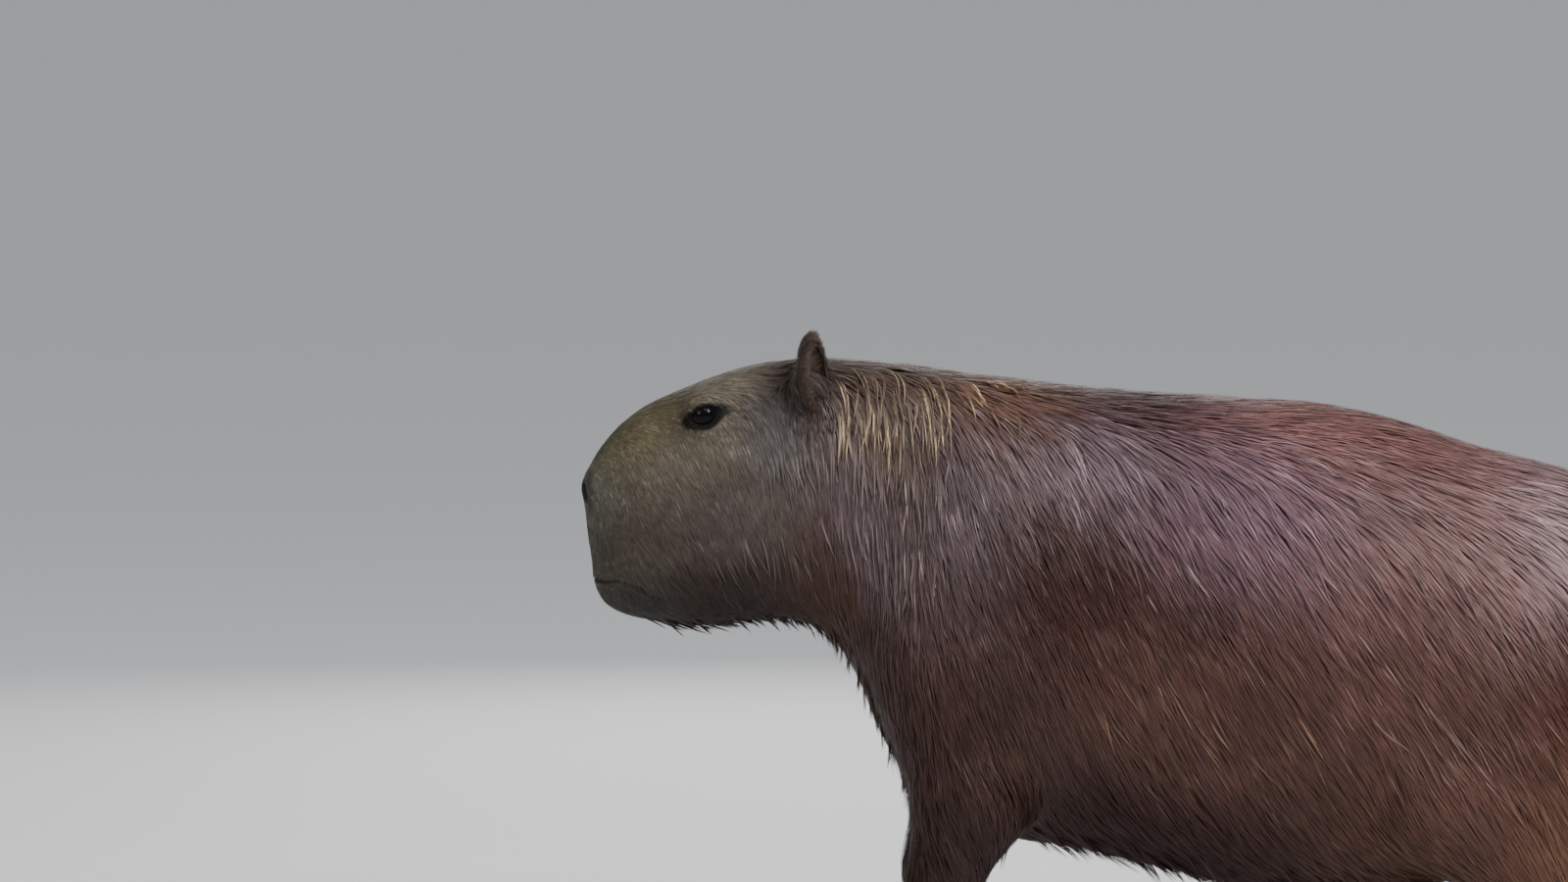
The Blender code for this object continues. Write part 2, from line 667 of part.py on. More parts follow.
def add_eye(head, side, away, collection):
    """The eye ball, and in the head its lids, the slit between them and the socket."""
    centre = mirrored(EYE, away)
    lids = ball("lids", centre, [EYE_RADIUS + LID_THICKNESS] * 3, 16, 10)
    boolean(head, lids, "UNION")
    slit = (LID_OPENING[0], LID_OPENING_DEPTH, LID_OPENING[1])
    outwards = Vector((0, away * LID_OPENING_DEPTH, 0))
    tilt = Matrix.Rotation(-LID_TILT, 4, "Y")
    boolean(head, ball("slit", centre + outwards, slit, 14, 8, tilt), "DIFFERENCE")
    boolean(head, ball("socket", centre, [EYE_RADIUS + GAP] * 3, 16, 10), "DIFFERENCE")
    eye = ball("eye_" + side, centre, [EYE_RADIUS] * 3, 16, 10)
    move_to(eye, collection)


def add_ear(head, side, away, collection):
    """The ear above its cut, and in the head its root with the bottom of the cup."""
    root, tip = mirrored(EAR_ROOT, away), mirrored(EAR_TIP, away)
    up = (tip - root).normalized()
    opening = Vector((math.sin(EAR_OPENS_REARWARDS), away * math.cos(EAR_OPENS_REARWARDS), 0))
    opening = (opening - opening.dot(up) * up).normalized()
    turn = Matrix((opening.cross(up), opening, up)).transposed()
    centre = root.lerp(tip, EAR_CENTRE)
    cup_centre = centre + turn @ Vector(EAR_CUP_SHIFT)
    rise = Vector((0, away * math.sin(EAR_CUT_LEAN), math.cos(EAR_CUT_LEAN)))
    box_centre = root + rise * (EAR_CUT_HEIGHT + EAR_BOX[2] / 2)
    box = (box_centre, EAR_BOX, 0.0, -EAR_CUT_LEAN * away)
    ear = ball("ear_" + side, centre, EAR_RADII, 14, 10, turn.to_4x4())
    move_to(ear, collection)
    stub = ball("stub", centre, EAR_RADII, 14, 10, turn.to_4x4())
    boolean(head, stub, "UNION")
    for made in (head, ear):
        boolean(made, ball("cup", cup_centre, EAR_CUP_RADII, 12, 8, turn.to_4x4()), "DIFFERENCE")
    boolean(head, box_object("above", box, GAP), "DIFFERENCE")
    boolean(ear, box_object("above", box), "INTERSECT")
    largest_surface(ear)


def press_muzzle(head):
    """The nostrils and the line of the mouth."""
    for away in (-1, 1):
        place = on_surface([mirrored(NOSTRIL, away)])[0]
        turn = Matrix.Rotation(NOSTRIL_TURN * away, 4, "Z") @ Matrix.Rotation(NOSTRIL_LEAN * away, 4, "X")
        boolean(head, ball("nostril", place, NOSTRIL_RADII, 12, 8, turn), "DIFFERENCE")
    left = [mirrored(point, -1) for point in MOUTH_LINE]
    right = [mirrored(point, 1) for point in reversed(MOUTH_LINE)]
    corners = np.array([*left, MOUTH_MIDDLE, *right])
    along = np.linspace(0, len(corners) - 1, MOUTH_STEPS)
    path = on_surface([[np.interp(t, range(len(corners)), axis) for axis in corners.T] for t in along])
    radii = MOUTH_GROOVE * np.clip(MOUTH_CORNER + MOUTH_OPENS * np.sin(np.pi * along / along[-1]), 0, 1)
    boolean(head, tube("mouth", path.tolist(), radii, MOUTH_SIDES), "DIFFERENCE")


def add_claws(foot, name, away, collection):
    """One claw at the tip of each toe, its root set in the foot."""
    limb, toes = (FRONT_LIMB, FRONT_TOES) if name.startswith("front") else (HIND_LIMB, HIND_TOES)
    for number, (_, knuckle, tip) in enumerate(toe_joints(limb, toes, LIMB_SHIFT[name]), start=1):
        ahead = Vector((tip[0] - knuckle[0], (tip[1] - knuckle[1]) * away, 0)).normalized()
        start = mirrored(tip, away)
        reach = [-CLAW_ROOT, *(CLAW_LENGTH * share for share in CLAW_SHARES)]
        path = [Vector((*(start + ahead * r).xy, z)) for r, z in zip(reach, CLAW_HEIGHTS)]
        pocket_path = [path[0] - ahead * GAP, *path[1:]]
        pocket = tube("pocket", pocket_path, [radius + GAP for radius in CLAW_RADII], CLAW_SIDES)
        boolean(foot, pocket, "DIFFERENCE")
        claw = tube(f"claw_{name}_{number}", path, CLAW_RADII, CLAW_SIDES)
        move_to(claw, collection)


def move_to(obj, collection):
    for old in list(obj.users_collection):
        old.objects.unlink(obj)
    collection.objects.link(obj)


def finish_of(name):
    """The finish that a node wears, from its name."""
    if name.startswith("eye"):
        return "eye"
    if name.startswith("claw"):
        return "claw"
    if name.endswith("foot"):
        return "bare_skin"
    return "face" if name == "head" or name.startswith("ear") else "coat"


def add_finishes(collection):
    for made in collection.objects:
        colour, roughness = FINISHES[finish_of(made.name)]
        material = bpy.data.materials.new(made.name)
        material.use_nodes = True
        shader = material.node_tree.nodes["Principled BSDF"]
        shader.inputs["Base Color"].default_value = (*colour, 1)
        shader.inputs["Roughness"].default_value = roughness
        made.data.materials.clear()
        made.data.materials.append(material)


def set_down(collection):
    """Moves the whole body so that its box is centred on the origin and its soles rest on z = 0."""
    pieces = collection.objects
    corners = np.array([made.matrix_world @ v.co for made in pieces for v in made.data.vertices])
    low, high = corners.min(axis=0), corners.max(axis=0)
    shift = Vector((-(low[0] + high[0]) / 2, -(low[1] + high[1]) / 2, -low[2]))
    for made in collection.objects:
        made.data.transform(Matrix.Translation(shift) @ made.matrix_world)
        made.matrix_world = Matrix.Identity(4)


def main():
    for old in list(bpy.data.objects):
        bpy.data.objects.remove(old)
    collection = bpy.data.collections.new("capybara")
    bpy.context.scene.collection.children.link(collection)
    locks = bpy.data.collections.new("locks")
    bpy.context.scene.collection.children.link(locks)
    grow_locks(locks)
    carve(collection, locks)
    for lock in list(locks.objects):
        bpy.data.objects.remove(lock)
    bpy.data.collections.remove(locks)
    head = collection.objects["head"]
    press_muzzle(head)
    for side, away in (("left", -1), ("right", 1)):
        add_eye(head, side, away, collection)
        add_ear(head, side, away, collection)
    largest_surface(head)
    for name in LIMB_SHIFT:
        away = -1 if name.endswith("left") else 1
        foot = collection.objects[name + "_foot"]
        boolean(foot, box_object("floor", FLOOR_BOX), "DIFFERENCE")
        add_claws(foot, name, away, collection)
        largest_surface(foot)
    add_finishes(collection)
    set_down(collection)


if __name__ == "__main__":
    main()
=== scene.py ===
"""The looks of the standing capybara: one skin, ears, eyes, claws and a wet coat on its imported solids.

All shapes are worked out in the part's own frame, head towards -X and its left side towards -Y, from the
same lines and masses as the solids, and moved by ORIGIN_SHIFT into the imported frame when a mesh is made.
"""

import math

import bmesh
import bpy
import numpy as np
import openvdb
from mathutils import Matrix, Vector


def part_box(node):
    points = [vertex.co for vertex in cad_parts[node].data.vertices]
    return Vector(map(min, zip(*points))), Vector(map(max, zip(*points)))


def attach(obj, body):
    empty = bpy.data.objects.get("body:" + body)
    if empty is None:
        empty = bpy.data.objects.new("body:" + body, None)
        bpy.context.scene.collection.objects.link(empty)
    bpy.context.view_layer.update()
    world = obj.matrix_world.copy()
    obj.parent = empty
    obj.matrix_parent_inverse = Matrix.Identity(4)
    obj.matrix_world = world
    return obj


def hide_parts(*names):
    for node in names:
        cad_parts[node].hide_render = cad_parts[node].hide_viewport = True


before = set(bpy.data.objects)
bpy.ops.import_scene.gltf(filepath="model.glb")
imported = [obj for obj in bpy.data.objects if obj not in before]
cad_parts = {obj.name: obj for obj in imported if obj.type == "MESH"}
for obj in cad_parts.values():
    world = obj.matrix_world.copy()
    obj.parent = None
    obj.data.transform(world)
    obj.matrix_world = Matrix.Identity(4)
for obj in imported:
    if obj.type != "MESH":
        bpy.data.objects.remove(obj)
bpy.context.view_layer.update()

# The trunk's lines, nose to rump: (x, height) and (x, half width), coat included.
TOP_LINE = (
    (-0.575, 0.500), (-0.545, 0.530), (-0.505, 0.566), (-0.456, 0.590), (-0.387, 0.613),
    (-0.340, 0.618), (-0.256, 0.614), (-0.179, 0.603), (-0.086, 0.592), (0.060, 0.581),
    (0.143, 0.575), (0.205, 0.562), (0.309, 0.526), (0.379, 0.493), (0.450, 0.452),
)
UNDER_LINE = (
    (-0.575, 0.384), (-0.532, 0.380), (-0.501, 0.370), (-0.456, 0.362), (-0.387, 0.368),
    (-0.352, 0.366), (-0.320, 0.350), (-0.296, 0.318), (-0.272, 0.262), (-0.240, 0.205),
    (-0.190, 0.172), (-0.076, 0.147), (0.100, 0.108), (0.200, 0.106), (0.290, 0.132), (0.450, 0.250),
)
HALF_WIDTH = (
    (-0.575, 0.052), (-0.530, 0.056), (-0.490, 0.061), (-0.443, 0.069), (-0.400, 0.077),
    (-0.350, 0.084), (-0.300, 0.092), (-0.240, 0.110), (-0.160, 0.131), (-0.040, 0.148),
    (0.110, 0.162), (0.220, 0.161), (0.330, 0.145), (0.450, 0.118),
)
WIDEST_HEIGHT = (
    (-0.575, 0.450), (-0.480, 0.452), (-0.390, 0.455), (-0.320, 0.470), (-0.250, 0.445),
    (-0.160, 0.405), (0.000, 0.370), (0.150, 0.350), (0.300, 0.350), (0.450, 0.350),
)
SQUARENESS = ((-0.575, 2.9), (-0.450, 2.7), (-0.330, 2.4), (-0.200, 2.3), (0.450, 2.3))
MUZZLE_FRONT = ((0.370, -0.534), (0.398, -0.543), (0.438, -0.551), (0.487, -0.5565), (0.560, -0.553))
MUZZLE_ROUND = 0.055
MUZZLE_BLEND = 0.034
TRUNK_END = 0.40
TRUNK_END_ROUND = 0.060

# Masses blended on to the trunk, on both sides: centre (x, distance from the midline, z), radii, blend.
BODY_MASSES = {
    "rump": ((0.352, 0.0, 0.322), (0.203, 0.138, 0.186), 0.050),
    "hamstrings": ((0.418, 0.072, 0.255), (0.122, 0.072, 0.140), 0.040),
    "thigh": ((0.315, 0.101, 0.262), (0.118, 0.067, 0.140), 0.045),
    "shoulder": ((-0.172, 0.078, 0.350), (0.098, 0.064, 0.150), 0.050),
}
# Mounds and hollows of the head, on both sides: (x, y, z), radius, height.
HEAD_FORMS = {
    "brow": ((-0.4430, 0.050, 0.576), 0.024, 0.0085),
    "hollow before the eye": ((-0.472, 0.058, 0.554), 0.020, -0.0025),
    "cheekbone": ((-0.425, 0.070, 0.532), 0.030, 0.0040),
    "jaw muscle": ((-0.385, 0.078, 0.440), 0.055, 0.0060),
    "whisker pad": ((-0.528, 0.050, 0.450), 0.026, 0.0055),
    "nostril wing": ((-0.550, 0.026, 0.496), 0.016, 0.0050),
    "nose pad": ((-0.556, 0.0, 0.500), 0.016, 0.0020),
    "upper lip": ((-0.530, 0.046, 0.419), 0.014, 0.0035),
    "lower lip": ((-0.520, 0.042, 0.392), 0.018, -0.0075),
    "temple": ((-0.385, 0.062, 0.580), 0.030, -0.0040),
    "chin": ((-0.530, 0.012, 0.386), 0.026, 0.0065),
    "ear base": ((-0.336, 0.062, 0.580), 0.024, 0.0040),
}
# The lids' rolled edge, and the folds round them with the heights over the slit between which they set in:
# height or depth, level and width.
LID_EDGE = (0.0008, 1.16, 0.13)
LID_FOLDS = (
    (0.0010, 1.62, 0.11, (-0.004, 0.004)),
    (0.0007, 1.75, 0.12, (0.002, -0.006)),
    (0.0004, 2.25, 0.12, (0.002, -0.006)),
)
LID_REACH = 0.0035
LID_OPENING = (1.08, 0.90)
# The nostrils' raised rim and hollow, the cleft of the upper lip, and the mouth's lips and groove.
NOSTRIL_RIM = (0.0011, 1.45, 0.28)
NOSTRIL_DEPTH = 0.0080
NOSTRIL_HOLLOW = (1.05, 0.45)
CLEFT_DEPTH = 0.0022
LIP_RIDGE = (0.0006, 0.0052, 0.0030)
MOUTH_DEPTH = 0.0036
MOUTH_WIDTH = 0.0017
PHILTRUM_WIDTH = 0.0055
PHILTRUM_DEPTH = 0.0028
PHILTRUM_ENDS = (0.412, 0.490)
CLEFT_WIDTH = 0.0016
CLEFT_FOOT = (0.408, 0.418)
CLEFT_TOP = (0.486, 0.474)
CLEFT_END = -0.50
# The nose's bare pad, and the stretch of it that has no hair: where it sets in along x, below and above.
NOSE_SKIN = ((-0.540, -0.552), (0.458, 0.478), (0.520, 0.508))
NOSE_HAIRLESS = ((-0.543, -0.549), (0.455, 0.475), (0.520, 0.512))

EYE = (-0.4400, 0.0495, 0.5655)
EYE_RADIUS = 0.0140
LID_TILT = math.radians(20)
LID_THICKNESS = 0.0020
LID_BLEND = 0.0110
# The slit between the lids: half length, height above and below its axis, and how pointed its ends are.
SLIT = (0.0152, 0.0084, 0.0108)
SLIT_POINT = 1.45
# How near the eyes and how far from the midline the slit counts, and the level of all other places.
NEAR_EYE = 0.05
NEAR_MIDLINE = 0.02
FAR = 99.0
# The dark mark round the lids, drawn out to the corners: half length, half height and point.
EYE_MARK = (0.0240, 0.0122)
EYE_MARK_POINT = 1.10

EAR_ROOT = (-0.3360, 0.0620, 0.5800)
EAR_TIP = (-0.3410, 0.0785, 0.6310)
EAR_CENTRE = 0.40
EAR_RADII = (0.0236, 0.0128, 0.0352)
EAR_CUP_RADII = (0.0203, 0.0182, 0.0313)
EAR_CUP_SHIFT = (0.0, 0.0090, 0.0025)
EAR_OPENS_REARWARDS = math.radians(68)
# The foot of the ear in the ear's own frame: its centre, radii and how softly the skin runs up to it.
EAR_FOOT = (0.0, -0.0075, -0.0110)
EAR_FOOT_RADII = (0.0150, 0.0165, 0.0210)
EAR_FOOT_BLEND = 0.0190

NOSTRIL = (-0.5500, 0.0215, 0.4920)
NOSTRIL_RADII = (0.0100, 0.0042, 0.0085)
NOSTRIL_TURN = math.radians(-38)
NOSTRIL_LEAN = math.radians(24)
MOUTH_LINE = (
    (-0.484, 0.060, 0.390), (-0.505, 0.056, 0.397), (-0.528, 0.045, 0.403), (-0.543, 0.024, 0.407),
)
MOUTH_MIDDLE = (-0.548, 0.0, 0.409)
MOUTH_STEPS = 25

# Each limb, top to bottom: (x, y, z, radius), y being the distance from the midline.
FRONT_LIMB = (
    (-0.205, 0.080, 0.330, 0.070), (-0.190, 0.094, 0.208, 0.055),
    (-0.220, 0.092, 0.122, 0.031), (-0.229, 0.091, 0.058, 0.026),
)
HIND_LIMB = ((0.262, 0.106, 0.215, 0.071), (0.400, 0.102, 0.112, 0.035), (0.345, 0.102, 0.036, 0.026))
LIMB_BLEND = 0.030
JOINT_BLEND = 0.022
ANKLE_BLEND = 0.014
HEEL = (0.004, 0.019, 0.021)
FRONT_TOES = ((-0.032, 0.062), (-0.011, 0.080), (0.012, 0.078), (0.033, 0.058))
HIND_TOES = ((-0.029, 0.074), (0.001, 0.092), (0.030, 0.070))
TOE_BLEND = 0.0080
PALM = (0.0270, 0.0190, 0.15, 0.45)
KNUCKLE = (0.0210, 0.0121, 0.62, 0.88)
TOE_TIP = (0.0096, 0.0101, 1.0, 1.0)
CLAW_LENGTH = 0.0190
CLAW_ROOT = 0.0060
SOLE = 0.0010
LIMB_SHIFT = {"front_left": 0.0, "front_right": 0.004, "hind_left": 0.012, "hind_right": -0.030}
LIMB_REACH = 0.16
LIMB_TOP = 0.46

# How steeply the hair runs down from the rearward direction: along x, on the flank and near the back.
LIE_FLANK = (
    (-0.56, 62), (-0.45, 60), (-0.38, 72), (-0.32, 82), (-0.20, 72), (-0.05, 62), (0.20, 55),
    (0.40, 62), (0.56, 78),
)
LIE_BACK = (
    (-0.56, 15), (-0.34, 25), (-0.26, 66), (-0.15, 44), (-0.02, 20), (0.10, 12), (0.35, 22), (0.56, 35),
)
# The share of the trunk's height where the flank's lie begins to turn into the back's, and where it ends.
LIE_TURNS = ((-0.56, 0.72), (-0.30, 0.80), (-0.10, 0.86), (0.10, 0.80), (0.30, 0.66))
LIE_TURNED = 0.98
# Below these heights the hair turns forward over the toes.
TOE_LIE = (-0.9, 0.0, -0.4)
TOE_LIE_HEIGHTS = (0.060, 0.035)

# How far over and under the trunk's under line the legs set in.
LEG_STRETCH = (-0.01, 0.05)
# Depth of the coat over the skin: along x, and its share at heights of the legs.
COAT_DEPTH = (
    (-0.56, 0.0010), (-0.50, 0.0016), (-0.42, 0.0026), (-0.34, 0.0048), (-0.26, 0.0070), (0.45, 0.0075),
)
LEG_COAT = ((0.00, 0.12), (0.05, 0.22), (0.13, 0.55), (0.22, 1.00))

SKIN_VOXEL = 0.0044
# The gentlest slope of the field that a step on to the skin counts with.
GENTLEST = 0.55
BODY_LIMITS = ((-0.60, -0.20, -0.014), (0.57, 0.20, 0.65))


def smooth_curve(points):
    """A function through the points, each slope taken from its neighbours."""
    xs, ys = np.array(points, float).T
    slopes = np.gradient(ys, xs)
    fine = np.linspace(xs[0], xs[-1], 800)
    k = np.clip(np.searchsorted(xs, fine) - 1, 0, len(xs) - 2)
    step = xs[k + 1] - xs[k]
    t = (fine - xs[k]) / step
    value = (1 + 2 * t) * (1 - t) ** 2 * ys[k] + t * (1 - t) ** 2 * step * slopes[k]
    value += t * t * (3 - 2 * t) * ys[k + 1] + t * t * (t - 1) * step * slopes[k + 1]
    return lambda x: np.interp(x, fine, value)


top_line = smooth_curve(TOP_LINE)
under_line = smooth_curve(UNDER_LINE)
half_width = smooth_curve(HALF_WIDTH)
widest_height = smooth_curve(WIDEST_HEIGHT)
squareness = smooth_curve(SQUARENESS)
muzzle_front = smooth_curve(MUZZLE_FRONT)


def read_off(points, at):
    """The value at a place on a line of named points."""
    return np.interp(at, *np.array(points, float).T)


def ramp(value, start, end):
    """A smooth step from 0 at start to 1 at end."""
    t = np.clip((value - start) / (end - start), 0, 1)
    return t * t * (3 - 2 * t)


def bump(away, radius):
    return np.exp(-((away / radius) ** 2))


def distance_to(place, points):
    """How far points are from a place on their own side of the midline."""
    x, y, z = points.T
    return np.sqrt((x - place[0]) ** 2 + (np.abs(y) - place[1]) ** 2 + (z - place[2]) ** 2)


def on_side(place, away):
    """A place given for the right side, on the side that away points to."""
    return np.array([place[0], place[1] * away, place[2]])


def unit(rows, least=0.0):
    """Rows scaled to length 1."""
    return rows / (np.linalg.norm(rows, axis=1)[:, None] + least)


def blend(a, b, reach):
    """The union of two fields, rounded where they meet."""
    h = np.clip(0.5 + 0.5 * (b - a) / reach, 0, 1)
    return b + (a - b) * h - reach * h * (1 - h)


def trunk_field(x, y, z):
    """Head, neck and trunk: sections across X between the top line and the under line."""
    middle, width, power = widest_height(x), half_width(x), squareness(x)
    height = np.where(z > middle, top_line(x) - middle, middle - under_line(x))
    across, up = np.abs(y) / width, np.abs(z - middle) / height
    level = (across**power + up**power) ** (1 / power)
    steep = np.sqrt((across / width) ** 2 + (up / height) ** 2) + 1e-6
    section = level * (level - 1) / steep
    front = muzzle_front(z) + y * y / (2 * MUZZLE_ROUND) - x
    section = -blend(-section, -front, MUZZLE_BLEND)
    return -blend(-section, -(x - TRUNK_END), TRUNK_END_ROUND)


def ellipsoid_field(x, y, z, centre, radii):
    dx, dy, dz = x - centre[0], y - centre[1], z - centre[2]
    level = np.sqrt((dx / radii[0]) ** 2 + (dy / radii[1]) ** 2 + (dz / radii[2]) ** 2)
    steep = np.sqrt((dx / radii[0] ** 2) ** 2 + (dy / radii[1] ** 2) ** 2 + (dz / radii[2] ** 2) ** 2)
    return level * (level - 1) / (steep + 1e-6)


def bone_field(x, y, z, a, b):
    """A rounded cone between two joints, each (x, y, z, radius)."""
    along = np.subtract(b[:3], a[:3])
    dx, dy, dz = x - a[0], y - a[1], z - a[2]
    t = np.clip((dx * along[0] + dy * along[1] + dz * along[2]) / (along @ along), 0, 1)
    away = np.sqrt((dx - t * along[0]) ** 2 + (dy - t * along[1]) ** 2 + (dz - t * along[2]) ** 2)
    return away - (a[3] + (b[3] - a[3]) * t)


def head_forms(x, side, z):
    """The sum of the head's mounds at a point, side being the distance from the midline."""
    low, high = PHILTRUM_ENDS
    fade = np.clip((z - low) / 0.008, 0, 1) * np.clip((high - z) / 0.012, 0, 1) * (x < -0.52)
    total = -PHILTRUM_DEPTH * bump(side, PHILTRUM_WIDTH) * fade
    for centre, radius, height in HEAD_FORMS.values():
        away = (x - centre[0]) ** 2 + (side - centre[1]) ** 2 + (z - centre[2]) ** 2
        total = total + height * np.exp(-away / radius**2)
    return total


def toe_joints(limb, toes, shift):
    """Each toe's palm, knuckle and tip, the toes fanned out ahead of the limb's end."""
    end = limb[-1]
    for across, reach in toes:
        yield [
            (end[0] + shift - reach * ahead, end[1] + across * spread, height, radius)
            for height, radius, ahead, spread in (PALM, KNUCKLE, TOE_TIP)
        ]


def limb_field(x, side, z, name):
    """One limb with its toes, side being the distance from the midline."""
    limb, toes = (FRONT_LIMB, FRONT_TOES) if name.startswith("front") else (HIND_LIMB, HIND_TOES)
    shift = LIMB_SHIFT[name]
    shares = np.linspace(0, 1, len(limb))
    joints = [(joint[0] + shift * share, *joint[1:]) for joint, share in zip(limb, shares)]
    leg = bone_field(x, side, z, joints[0], joints[1])
    for a, b in zip(joints[1:], joints[2:]):
        leg = blend(leg, bone_field(x, side, z, a, b), JOINT_BLEND)
    foot = bone_field(x, side, z, joints[-1], (joints[-1][0] + HEEL[0], joints[-1][1], *HEEL[1:]))
    for palm, knuckle, tip in toe_joints(limb, toes, shift):
        toe = np.minimum(bone_field(x, side, z, palm, knuckle), bone_field(x, side, z, knuckle, tip))
        foot = blend(foot, toe, TOE_BLEND)
    return blend(leg, foot, ANKLE_BLEND)


def leg_share(points):
    """0 on the trunk, rising to 1 down the legs."""
    return ramp(under_line(points[:, 0]) - points[:, 2], *LEG_STRETCH)


def along_body(line, points, leg_line):
    """A size of the coat at places, less down the legs by a share of its own."""
    leg = leg_share(points)
    return read_off(line, points[:, 0]) * (1 + (read_off(leg_line, points[:, 2]) - 1) * leg)


def ear_frame(away):
    """The ear's root, tip, up direction and turn, whose middle column points out of the cup."""
    root, tip = on_side(EAR_ROOT, away), on_side(EAR_TIP, away)
    up = (tip - root) / np.linalg.norm(tip - root)
    opening = np.array([math.sin(EAR_OPENS_REARWARDS), away * math.cos(EAR_OPENS_REARWARDS), 0])
    opening -= opening @ up * up
    opening /= np.linalg.norm(opening)
    return root, tip, up, np.stack([np.cross(opening, up), opening, up], axis=1)


def ear_root_field(x, side, z):
    """The foot of the ear, which the skin runs up to."""
    root, tip, _, turn = ear_frame(1)
    local = (np.stack([x, side, z], axis=1) - root - (tip - root) * EAR_CENTRE) @ turn
    return ellipsoid_field(*local.T, EAR_FOOT, EAR_FOOT_RADII)


def skin_field(points):
    """The skin's field, negative inside: the solids' masses less the coat's depth, with the lids' bulge."""
    x, y, z = points.T
    side = np.abs(y)
    found = trunk_field(x, y, z)
    near = x < -0.25
    found[near] -= head_forms(x[near], side[near], z[near])
    for centre, radii, reach in BODY_MASSES.values():
        found = blend(found, ellipsoid_field(x, side, z, centre, radii), reach)
    for name in LIMB_SHIFT:
        away = -1 if name.endswith("left") else 1
        joints = np.array(FRONT_LIMB if name.startswith("front") else HIND_LIMB)
        near = (y * away > -0.02) & (z < LIMB_TOP)
        near &= (x > joints[:, 0].min() - LIMB_REACH) & (x < joints[:, 0].max() + LIMB_REACH)
        limb = limb_field(x[near], y[near] * away, z[near], name)
        found[near] = blend(found[near], limb, LIMB_BLEND)
    found += along_body(COAT_DEPTH, points, LEG_COAT)
    found = blend(found, distance_to(EYE, points) - EYE_RADIUS - LID_THICKNESS, LID_BLEND)
    near = (np.abs(x - EAR_ROOT[0]) < 0.06) & (z > 0.50)
    found[near] = blend(found[near], ear_root_field(x[near], side[near], z[near]), EAR_FOOT_BLEND)
    return np.maximum(found, SOLE - z)


def field_grid(field, low, high, voxel, coarse=3):
    """A field on a grid: exact near its surface, and rough elsewhere."""
    low = np.array(low, float)
    count = np.ceil((np.array(high) - low) / (voxel * coarse)).astype(int) + 1
    rough_axes = [start + voxel * coarse * np.arange(n) for start, n in zip(low, count)]
    rough = field(np.stack(np.meshgrid(*rough_axes, indexing="ij"), axis=-1).reshape(-1, 3)).reshape(count)
    values = rough
    for axis in range(3):
        values = np.repeat(values, coarse, axis=axis)
    near = np.argwhere(np.abs(values) < 2.2 * coarse * voxel)
    values[tuple(near.T)] = field(low + near * voxel)
    return values.astype(np.float32)


def surface(values, low, voxel):
    """The vertices and quads of a grid's zero surface."""
    grid = openvdb.FloatGrid(3 * voxel)
    grid.copyFromArray(np.clip(values, -3 * voxel, 3 * voxel))
    points, _, quads = grid.convertToPolygons(0.0, 0.0)
    return points * voxel + np.array(low), quads


def sample(grid, points):
    """A grid's values at points, (values, low, voxel), blended between its eight nearest corners."""
    values, low, voxel = grid
    place = np.clip((points - np.array(low)) / voxel, 0, np.array(values.shape) - 1.001)
    base = place.astype(int)
    part = place - base
    total = np.zeros(len(points))
    for corner in np.ndindex(2, 2, 2):
        weight = np.prod(np.where(corner, part, 1 - part), axis=1)
        total += weight * values[tuple((base + corner).T)]
    return total


def gradients_at(grid, points):
    """The gradients of a grid's field at points."""
    reach = grid[2]
    found = [sample(grid, points + reach * axis) - sample(grid, points - reach * axis) for axis in np.eye(3)]
    return np.stack(found, axis=1) / (2 * reach)


def normals_at(grid, points):
    """The outward directions of a grid's field at points."""
    return unit(gradients_at(grid, points), 1e-12)


def settle(grid, points, rounds=2):
    """Points moved on to the skin."""
    for _ in range(rounds):
        gradients = gradients_at(grid, points)
        steep = np.maximum((gradients**2).sum(axis=1), GENTLEST**2)
        points = points - gradients * (sample(grid, points) / steep)[:, None]
    return points


def lie(points, normals):
    """The direction in which the hair lies at points of the surface."""
    x, _, z = points.T
    level = level_of(points)
    turns = read_off(LIE_TURNS, x)
    share = np.clip((level - turns) / (LIE_TURNED - turns), 0, 1)
    flank, back = read_off(LIE_FLANK, x), read_off(LIE_BACK, x)
    down = np.radians(flank + (back - flank) * share)
    way = np.stack([np.cos(down), np.zeros_like(x), -np.sin(down)], axis=1)
    toes = ramp(z, *TOE_LIE_HEIGHTS)[:, None]
    way = way * (1 - toes) + np.array(TOE_LIE) * toes
    way -= (way * normals).sum(axis=1)[:, None] * normals
    return unit(way, 1e-9)


def eye_level(points):
    """1 on the edge of the slit between the lids, less inside it, and place along and above the slit."""
    x, y, z = points.T
    dx, dz = x - EYE[0], z - EYE[2]
    along = dx * math.cos(LID_TILT) + dz * math.sin(LID_TILT)
    above = dz * math.cos(LID_TILT) - dx * math.sin(LID_TILT)
    tall = np.where(above > 0, SLIT[1], SLIT[2])
    level = (np.abs(along) / SLIT[0]) ** SLIT_POINT + (np.abs(above) / tall) ** 2
    far = (np.abs(dx) > NEAR_EYE) | (np.abs(dz) > NEAR_EYE) | (np.abs(y) < NEAR_MIDLINE)
    return np.where(far, FAR, np.sqrt(level)), along, above


def nostril_level(points, grid):
    """1 on the rim of the nearer nostril, and less inside it."""
    level = np.full(len(points), FAR)
    for away in (-1, 1):
        place = settle(grid, on_side(NOSTRIL, away)[None], 4)[0]
        turn = Matrix.Rotation(NOSTRIL_TURN * away, 3, "Z") @ Matrix.Rotation(NOSTRIL_LEAN * away, 3, "X")
        local = (points - place) @ np.array(turn)
        level = np.minimum(level, np.linalg.norm(local / np.array(NOSTRIL_RADII), axis=1))
    return level


